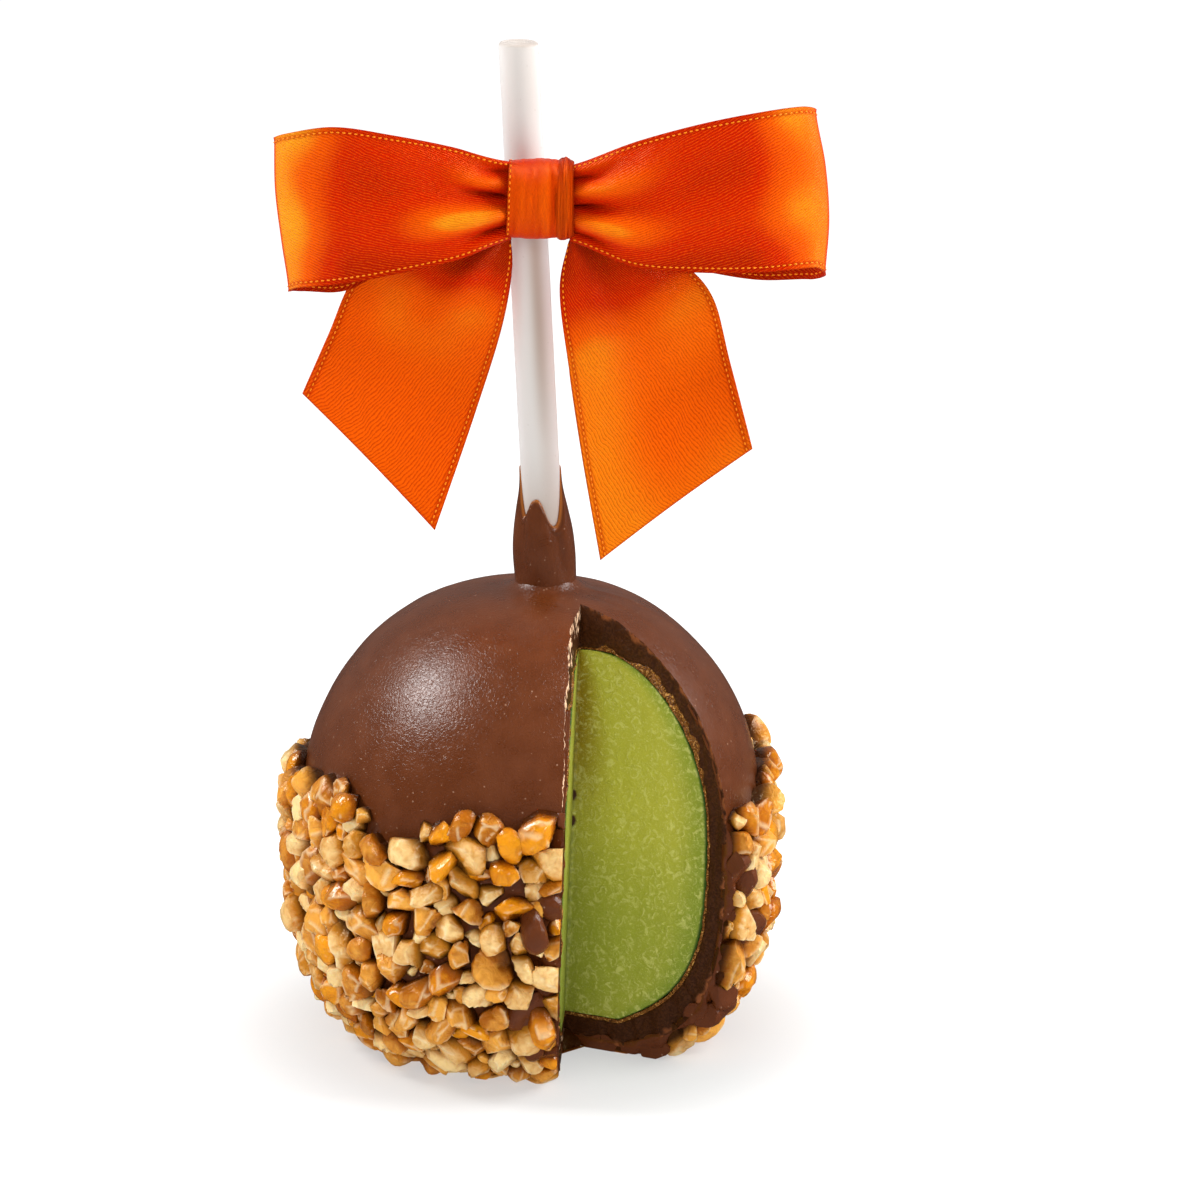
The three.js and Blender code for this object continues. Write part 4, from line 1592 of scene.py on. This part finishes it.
@dataclass(frozen=True)
class Cloth:
    """The satin ribbon as it comes off the reel, in millimetres."""

    width: float = 31.5
    thickness: float = 0.34
    hem: float = 0.6  # thickness at the woven edges
    stitch_inset: float = 1.0
    stitch_pitch: float = 1.1
    stitch_half: tuple[float, float] = (0.42, 0.2)

    def build_strip(
        self, name: str, points: np.ndarray, fold: np.ndarray, length: float, cut_end: bool = False
    ) -> bpy.types.Object:
        """A strip of ribbon about a grid of points, rows along the ribbon and columns across it.

        Args:
            name: the piece's name.
            points: the middle of the cloth.
            fold: a mask of painted shade and highlight, 0 for the deepest painted shade in a fold, 0.5 on
                flat cloth and 1 for the brightest painted highlight on a crest.
            length: the strip's length, in millimetres.
            cut_end: whether its last row is a cut end that shows.

        Returns:
            The piece.
        """
        rows, columns = points.shape[:2]
        u, v = even_grid(rows, columns)
        uv = np.stack([v * self.width, u * length], -1) * MM
        edge = np.minimum(v, 1 - v) * self.width
        thickness = self.thickness + (self.hem - self.thickness) * bell(edge, 0.0, 0.35)
        hem = 0.7 * bell(edge, 0.0, 0.25) + bell(edge, self.stitch_inset, 0.38)
        if cut_end:
            hem = np.maximum(hem, bell((1 - u) * length, 0.0, 0.45))
        masks = {"fold": fold, "hem": hem}
        return weld(name, sheet_patches(points, uv, thickness, masks), [Satin().material()])

    def build_stitches(self, name: str, points: np.ndarray, spans: tuple[int, ...]) -> bpy.types.Object:
        """A row of stitches along each woven edge: small lentils on both sides of the cloth.

        Args:
            name: the piece's name.
            points: the middle of the cloth the stitches are on.
            spans: which edges have them: 0 for the first column's and 1 for the last column's.

        Returns:
            The piece.
        """
        normals = grid_normals(points)
        dirs, faces = chunk_grid(2)
        parts, lifts = [], []
        for edge in spans:
            share = self.stitch_inset / self.width
            place = share if edge == 0 else 1 - share
            column = place * (points.shape[1] - 1)
            first = int(column)
            t = column - first
            line = mix(points[:, first], points[:, first + 1], t)
            out = unit(mix(normals[:, first], normals[:, first + 1], t))
            steps = np.concatenate([[0.0], np.cumsum(np.linalg.norm(np.diff(line, axis=0), axis=1))])
            at = np.arange(self.stitch_pitch, steps[-1] - 0.4, self.stitch_pitch)
            centre = np.stack([np.interp(at, steps, line[:, k]) for k in range(3)], -1)
            normal = unit(np.stack([np.interp(at, steps, out[:, k]) for k in range(3)], -1))
            ahead = np.gradient(line, axis=0)
            run = unit(np.stack([np.interp(at, steps, ahead[:, k]) for k in range(3)], -1))
            side = np.cross(normal, run)
            long, short = self.stitch_half
            shape = dirs * np.array([long, short, self.thickness / 2 + 0.2])
            basis = np.stack([run, side, normal], axis=1)
            parts.append(centre[:, None] + np.einsum("vk,ckj->cvj", shape, basis))
            lifts.append(np.broadcast_to(np.abs(dirs[:, 2]), (len(at), len(dirs))))
        points_of = np.concatenate(parts)
        index = faces[None] + (np.arange(len(points_of)) * len(dirs))[:, None, None]
        lift = np.concatenate(lifts).reshape(-1)
        mesh = raw_mesh(name, points_of.reshape(-1, 3), index.reshape(-1, 4), {"lift": lift})
        mesh.materials.append(Thread().material())
        return link(name, mesh)


CLOTH = Cloth()


@dataclass(frozen=True)
class Pleat:
    """A fold that runs out from the knot.

    Attributes:
        where: its place across the ribbon at the knot, from 0 at the first edge to 1 at the last.
        drift: how far its place moves across the ribbon by its end.
        width: its half width, as a share of the ribbon.
        height: millimetres towards the front, negative for a valley.
        end: share of the way out where it is gone.
    """

    where: float
    drift: float
    width: float
    height: float
    end: float

    def rise(self, share: np.ndarray, v: np.ndarray) -> np.ndarray:
        """A bell across the ribbon that fades along it and widens as it goes.

        Args:
            share: how far out from the knot, from 0 to 1.
            v: the place across the ribbon, from 0 to 1.

        Returns:
            Millimetres towards the front.
        """
        place = self.where + self.drift * share / self.end
        width = self.width * (0.7 + 0.9 * share / self.end)
        fade = (1 - ease(share, 0.25 * self.end, self.end)) * ease(share, -0.04, 0.06)
        return self.height * fade * bell(v, place, width)


@dataclass(frozen=True)
class Loop:
    """One loop of the bow: out from the knot in front, round its end and back behind."""

    side: Side
    start: float
    reach: tuple[float, ...]
    front_top: tuple[float, ...]
    front_bottom: tuple[float, ...]
    back_top: tuple[float, ...]
    back_bottom: tuple[float, ...]
    pleats: tuple[Pleat, ...]
    rows: int = 260
    columns: int = 90

    BOW_Y = -8.6
    SPREAD = 8.0
    ROOT = 1.1
    START = 0.35

    def depth(self, share: np.ndarray) -> np.ndarray:
        """How far a layer stands from the bow's plane, at a share of the way out."""
        return np.sqrt(np.maximum(1 - share, 0.0)) * (self.ROOT + 2 * self.SPREAD * share)

    def grid(self) -> tuple[np.ndarray, np.ndarray]:
        """The loop's surface.

        It runs out along X by a cosine and back, stands off the bow's plane by a root that closes at its
        end, and has its pleats and slow waves added along Y.

        Returns:
            The middle of the cloth and its fold mask of painted shade and highlight.
        """
        u, v = even_grid(self.rows, self.columns)
        angle = self.START + (2 * math.pi - 2 * self.START) * u
        cosine = math.cos(self.START)
        share = np.clip((cosine - np.cos(angle)) / (cosine + 1), 0.0, 1.0)
        behind = ease(u, 0.42, 0.58)
        top = mix(along(self.front_top, share), along(self.back_top, share), behind)
        bottom = mix(along(self.front_bottom, share), along(self.back_bottom, share), behind)
        x = self.start + (along(self.reach, v) - self.start) * share
        sign = np.sign(0.5 - u)
        relief = sum(pleat.rise(share, v) for pleat in self.pleats)
        front = relief * (1 - ease(u, 0.35, 0.5))
        back = -0.45 * relief * ease(u, 0.5, 0.65)
        free = ease(share, 0.2, 0.5) * (1 - ease(share, 0.8, 1.0))
        waves = np.sin(3.1 * v * math.pi + 2.0 * share) * free
        y = self.BOW_Y - sign * self.depth(share) - front - back - 0.21 * waves * sign
        height = top + (bottom - top) * v + 0.27 * self.depth(share) * (1 - behind)
        points = np.stack([BOW_X + self.side.value * x, y, height], -1)
        soft = noise(points, 9.0, 131)
        # Painted shade and highlight: brighter round the loop's end, where it turns to the side, darker along
        # its lower edge elsewhere, lighter on the pleats' crests and darker in their valleys, darker near the
        # knot and on the back layer.
        end = ease(share + 0.05 * soft - 0.05 * v, 0.66, 0.93)
        turn = (0.55 - 0.05 * self.side.value) * end - 0.14 * ease(v, 0.60, 0.95) * (1 - end)
        fold = 0.36 + 0.10 * waves + 0.05 * soft + turn * (1 - ease(u, 0.46, 0.5))
        fold = fold + np.clip(0.24 * relief, -0.45, 0.55) * (1 - ease(u, 0.4, 0.5))
        fold = fold - 0.10 * (1 - ease(share, 0.0, 0.14)) - 0.34 * ease(u, 0.5, 0.56)
        return points, np.clip(fold, 0.0, 1.0)

    def build(self) -> list[bpy.types.Object]:
        """The loop and its stitches."""
        name = self.side.name.lower()
        points, fold = self.grid()
        length = run_length(points, self.columns // 2)
        cloth = CLOTH.build_strip(f"loop_{name}", points, fold, length)
        stitches = CLOTH.build_stitches(f"loop_{name}_stitches", points, (0, 1))
        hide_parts(f"ribbon_loop_{name}")
        return [cloth, stitches]


LOOPS = (
    Loop(
        Side.LEFT, 5.2, (48.4, 48.4, 47.4, 46.2),
        (171.9, 174.4, 176.4, 177.9, 176.8), (157.5, 153.4, 150.7, 148.8, 148.2),
        (171, 172, 174, 174.6, 176.2), (158, 155.2, 152.4, 146.6, 147.2),
        (
            Pleat(0.66, -0.02, 0.13, 3.0, 0.60), Pleat(0.47, -0.12, 0.045, -1.9, 0.28),
            Pleat(0.28, -0.06, 0.11, 1.6, 0.36), Pleat(0.13, 0.10, 0.045, -1.0, 0.20),
            Pleat(0.84, 0.02, 0.04, -1.2, 0.24), Pleat(0.95, 0.0, 0.07, 1.2, 0.4),
            Pleat(0.02, 0.0, 0.06, 0.9, 0.25),
        ),
    ),
    Loop(
        Side.RIGHT, 5.7, (50.7, 52.6, 53.4, 52.8),
        (171.1, 175.0, 178.0, 180.3, 182), (157.1, 152.0, 150.7, 150.7, 152.0),
        (170.5, 174, 177, 178.6, 181), (157.6, 153, 150.3, 148.4, 149.2),
        (
            Pleat(0.06, 0.02, 0.06, 1.0, 0.3), Pleat(0.18, 0.06, 0.04, -1.3, 0.18),
            Pleat(0.34, -0.08, 0.12, 2.0, 0.5), Pleat(0.55, -0.02, 0.045, -2.1, 0.22),
            Pleat(0.72, 0.02, 0.13, 2.6, 0.5), Pleat(0.88, 0.02, 0.04, -0.9, 0.24),
            Pleat(0.96, 0.0, 0.05, 0.6, 0.3),
        ),
    ),
)


@dataclass(frozen=True)
class Tail:
    """One tail of the bow: fanned out behind its loop, then hanging free to its slanted cut."""

    side: Side
    loop: Loop
    outer: tuple[tuple[float, float], ...]
    inner: tuple[tuple[float, float], ...]
    pleats: tuple[Pleat, ...]
    rows: int = 150
    columns: int = 80

    BEHIND = 1.7
    CLEAR = 0.62
    FRONT = -8.5

    def grid(self) -> tuple[np.ndarray, np.ndarray]:
        """The tail's surface: straight lines between two edge curves, with its pleats added along Y.

        Returns:
            The middle of the cloth and its fold mask of painted shade and highlight.
        """
        u, v = even_grid(self.rows, self.columns)
        edges = []
        for curve in (self.outer, self.inner):
            line = np.array(curve, float)
            edges.append(np.stack([along(tuple(line[:, 0]), u), along(tuple(line[:, 1]), u)], -1))
        across = mix(edges[0], edges[1], v[..., None])
        share = (np.abs(across[..., 0]) - self.loop.start) / (self.loop.reach[0] - self.loop.start)
        behind = self.loop.BOW_Y + self.loop.depth(np.clip(share, 0.0, 0.67)) + self.BEHIND
        free = self.FRONT + 1.5 * np.sin(math.pi * v) * u
        relief = sum(pleat.rise(u, v) for pleat in self.pleats)
        y = mix(behind, free, ease(u, self.CLEAR, 1.0)) - relief
        soft = noise(np.stack([v * 9.0, u * 20.0, 0 * u], -1), 4.0, 141 + self.side.value)
        # painted shadow of the loop over the tail's upper part, and painted light and shade on its pleats
        shade = 0.80 * (1 - ease(u + 0.05 * soft, 0.22, 0.52))
        fold = np.clip(0.80 + 0.08 * relief + 0.08 * soft - shade + 0.04 * self.side.value, 0.0, 0.88)
        return np.stack([BOW_X + across[..., 0], y, across[..., 1]], -1), fold

    def build(self) -> list[bpy.types.Object]:
        """The tail and its stitches."""
        name = self.side.name.lower()
        points, fold = self.grid()
        sides = [run_length(points, edge) for edge in (0, -1)]
        cloth = CLOTH.build_strip(f"tail_{name}", points, fold, sum(sides) / 2, cut_end=True)
        stitches = CLOTH.build_stitches(f"tail_{name}_stitches", points, (0, 1))
        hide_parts(f"ribbon_tail_{name}")
        return [cloth, stitches]


TAILS = (
    Tail(
        Side.LEFT, LOOPS[0],
        ((-9, 165), (-24, 158), (-34.2, 149), (-39.2, 138.6), (-44.1, 128.3)),
        ((-5.2, 156.6), (-5.1, 150.5), (-7.3, 139), (-12.6, 122), (-19.7, 102)),
        (
            Pleat(0.62, -0.20, 0.10, -1.6, 0.8), Pleat(0.82, -0.10, 0.12, 1.1, 0.85),
            Pleat(0.36, -0.1, 0.16, 0.8, 0.9),
        ),
    ),
    Tail(
        Side.RIGHT, LOOPS[1],
        ((9, 165), (23.9, 153.6), (32, 145.5), (35.7, 132.5), (39.7, 117.5)),
        ((5.6, 156.6), (3.8, 147.5), (5.4, 133), (8, 115), (11.3, 96.1)),
        (
            Pleat(0.60, -0.15, 0.12, -0.9, 0.75), Pleat(0.83, -0.05, 0.12, 1.0, 0.85),
            Pleat(0.3, 0.0, 0.2, 0.7, 0.9),
        ),
    ),
)


@dataclass(frozen=True)
class Band:
    """One fold of ribbon round the bow's middle.

    Attributes:
        name: the piece's name.
        left: where it starts, across the bow.
        right: where it ends.
        grow: how much further out it lies than the first one.
        pinch: how much it narrows towards its sides, as a share.
        seed: picks its pleats.
        stitched: the edges whose stitches show.
    """

    name: str
    left: float
    right: float
    grow: float
    pinch: float
    seed: int
    stitched: tuple[int, ...] = ()


@dataclass(frozen=True)
class Knot:
    """The bow's middle: a band of ribbon folded narrow, with a second fold over its right side."""

    middle: float = 165.05
    y: float = -8.6
    bands: tuple[Band, ...] = (
        Band("knot_band", -5.8, 4.4, 0.0, 0.06, 101, (0,)),
        Band("knot_fold", 3.1, 6.3, 0.22, 0.12, 111),
    )
    half_depth: float = 4.2
    half_height: float = 7.3
    least_flat: float = 10.0  # the narrowest flat width
    rows: int = 180
    columns: int = 60

    def grid(self, band: Band) -> tuple[np.ndarray, np.ndarray]:
        """A band round the middle of the bow.

        Its section is a rounded oval, |y/a|^n + |z/b|^n = 1 with n = 2.6, that swells a little midway
        between its sides, with shallow pleats round it.

        Args:
            band: which of the knot's bands.

        Returns:
            The middle of the cloth and its fold mask of painted shade and highlight.
        """
        u, v = even_grid(self.rows, self.columns)
        angle = 0.25 * math.pi + (2 * math.pi - 0.08) * u + math.pi / 4
        power = 2 / 2.6
        swell = 1 - band.pinch * (2 * v - 1) ** 2
        lines = np.stack([v * 9.0, np.cos(angle) * 0.8, np.sin(angle) * 0.8], -1)
        pleat = 0.22 * noise(lines, 1.25, band.seed) + 0.12 * noise(lines, 0.6, band.seed + 1)
        depth = (self.half_depth + band.grow) * swell + pleat
        height = (self.half_height + band.grow) * swell + pleat * 0.7
        y = self.y + depth * np.sign(np.cos(angle)) * np.abs(np.cos(angle)) ** power
        z = self.middle + height * np.sign(np.sin(angle)) * np.abs(np.sin(angle)) ** power
        front = np.clip(-np.cos(angle), 0, 1)
        x = BOW_X + mix(band.left, band.right, v) + 0.35 * np.sin(angle) * (1 - v)
        # painted highlight on the pleats' crests, painted shade away from the front
        fold = np.clip(0.60 + 0.50 * pleat - 0.10 * (1 - front) + 0.04 * front, 0.0, 1.0)
        return np.stack([x, y, z], -1), fold

    def build(self) -> list[bpy.types.Object]:
        """The two bands, their stitches, and the strap round the stick."""
        pieces = []
        for band in self.bands:
            points, fold = self.grid(band)
            length = run_length(points, self.columns // 2)
            cloth = CLOTH.build_strip(band.name, points, fold, length)
            with_pieces = []
            if band.stitched:
                with_pieces = [CLOTH.build_stitches(f"{band.name}_stitches", points, band.stitched)]
            pieces += [cloth, *with_pieces]
        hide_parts("ribbon_knot")
        return [*pieces, self.build_strap()]

    def build_strap(self) -> bpy.types.Object:
        """The strap that holds the bow: a band round the back of the stick."""
        rows, columns = 90, 30
        u, v = even_grid(rows, columns)
        angle = math.radians(54.0) + math.radians(252.0) * u
        radius = 4.55 + 0.12 * np.sin(3 * math.pi * v) + 0.05 * np.sin(9 * math.pi * v)
        height = self.middle + 4.9 * (1 - 2 * v)
        x = radius * np.sin(angle) + STICK.axis(height)
        points = np.stack([x, -radius * np.cos(angle), height], -1)
        # painted light and shade on the strap's waves
        fold = np.clip(0.5 + 0.2 * np.sin(3 * math.pi * v), 0, 1)
        length = run_length(points, 0)
        cloth = CLOTH.build_strip("knot_strap", points, fold, length)
        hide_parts("ribbon_strap")
        return cloth


# ---------------------------------------------------------------- camera, light and floor


@dataclass(frozen=True)
class Studio:
    """A product set: a long lens a little over the apple, a pale floor and large soft lights."""

    camera_place: Colour = (1.9, -953.19, 348.37)
    camera_aim: Colour = (13.25, 0.0, 85.98)
    lens: float = 156.24
    ambient: float = 0.30
    front_shine: float = 0.02
    top_shine: float = 0.12
    back_shine: float = 0.20

    @staticmethod
    def aim(thing: bpy.types.Object, place: Colour, target: Colour) -> None:
        """Puts a camera or light at a place and turns it to a target, both in millimetres."""
        thing.location = Vector(place) * MM
        thing.rotation_euler = (Vector(target) - Vector(place)).to_track_quat("-Z", "Y").to_euler()

    def build_world(self) -> bpy.types.World:
        """White behind the apple, and darker on the camera's side, so that dark food isn't washed out."""
        world = bpy.data.worlds.new("studio_white")
        world.use_nodes = True
        world.node_tree.nodes.clear()
        pad = Shader(world.node_tree)
        parts = pad.add("SeparateXYZ", {0: pad.add("TexCoord").outputs["Generated"]}).outputs
        behind = pad.span(parts["Y"], -0.3, 0.7, most=self.back_shine)
        above = pad.math("MULTIPLY_ADD", pad.span(parts["Z"], 0.35, 1.0), self.top_shine, self.front_shine)
        path = pad.add("LightPath").outputs
        shine = pad.math("MULTIPLY", path["Is Glossy Ray"], pad.math("ADD", behind, above))
        ambient = pad.math("MULTIPLY", pad.math("SUBTRACT", 1.0, path["Is Glossy Ray"]), self.ambient)
        strength = pad.math("MAXIMUM", path["Is Camera Ray"], pad.math("ADD", shine, ambient))
        surface = pad.add("Background", {"Color": (1.0, 1.0, 1.0), "Strength": strength})
        pad.add("OutputWorld", {"Surface": surface.outputs[0]})
        return world

    def build_camera(self) -> None:
        """The camera, looking down a little from the front."""
        data = bpy.data.cameras.new("camera")
        data.lens, data.sensor_width = self.lens, 36.0
        data.clip_start, data.clip_end = 0.05, 20.0
        camera = bpy.data.objects.new("camera", data)
        bpy.context.scene.collection.objects.link(camera)
        self.aim(camera, self.camera_place, self.camera_aim)
        bpy.context.scene.camera = camera

    def build_light(
        self, name: str, place: Colour, size: tuple[float, float], watts: float, glossy: bool = True
    ) -> None:
        """A rectangular soft light aimed at the apple.

        Args:
            name: the light's name.
            place: where it stands, in millimetres.
            size: its width and height, in millimetres.
            watts: its power.
            glossy: whether it shows in a shine.
        """
        data = bpy.data.lights.new(name, "AREA")
        data.shape, data.size, data.size_y = "RECTANGLE", size[0] * MM, size[1] * MM
        data.energy = watts
        light = bpy.data.objects.new(name, data)
        light.visible_glossy = glossy
        bpy.context.scene.collection.objects.link(light)
        self.aim(light, place, (0.0, 0.0, 80.0))

    def build(self) -> None:
        """The whole set."""
        scene = bpy.context.scene
        scene.view_settings.view_transform = "Standard"
        scene.world = self.build_world()
        self.build_camera()
        self.build_light("key", (-616.0, 13.0, 703.0), (260.0, 260.0), 5.4)
        self.build_light("right", (620.0, -60.0, 560.0), (400.0, 500.0), 6.0)
        self.build_light("front", (-60.0, -900.0, 560.0), (500.0, 400.0), 2.6, glossy=False)
        side = 6000.0
        corners = np.array([[-side, -side, 0], [side, -side, 0], [side, side, 0], [-side, side, 0]], float)
        mesh = raw_mesh("floor", corners, np.array([[0, 1, 2, 3]]), {})
        mesh.materials.append(PaleFloor().material())
        floor = link("floor", mesh)


def main() -> None:
    """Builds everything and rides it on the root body."""
    logging.basicConfig(level=logging.INFO)
    apple, coat, knot = Apple(), NutCoat(), Knot()
    flesh = apple.build_flesh()
    caramel, shell = apple.build_coat()
    collar, stick, bed = Collar().build(), STICK.build(), coat.build_bed()
    nuts = coat.build_nuts()
    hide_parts("apple")
    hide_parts("caramel")
    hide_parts("chocolate")
    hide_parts("stick")
    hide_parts("nut_coat")
    loops = [piece for loop in LOOPS for piece in loop.build()]
    tails = [piece for tail in TAILS for piece in tail.build()]
    bow = [*loops, *tails, *knot.build()]
    slots = {
        "apple_flesh": [flesh], "caramel": [caramel], "milk_chocolate": [shell, collar, bed],
        "chopped_nuts": nuts, "paper_stick": [stick], "satin_ribbon": bow,
    }
    for slot, pieces in slots.items():
        for piece in pieces:
            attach(piece, ROOT)
            LOG.info("%s: %s, %d faces", slot, piece.name, len(piece.data.polygons))
    Studio().build()


if __name__ == "__main__":
    main()
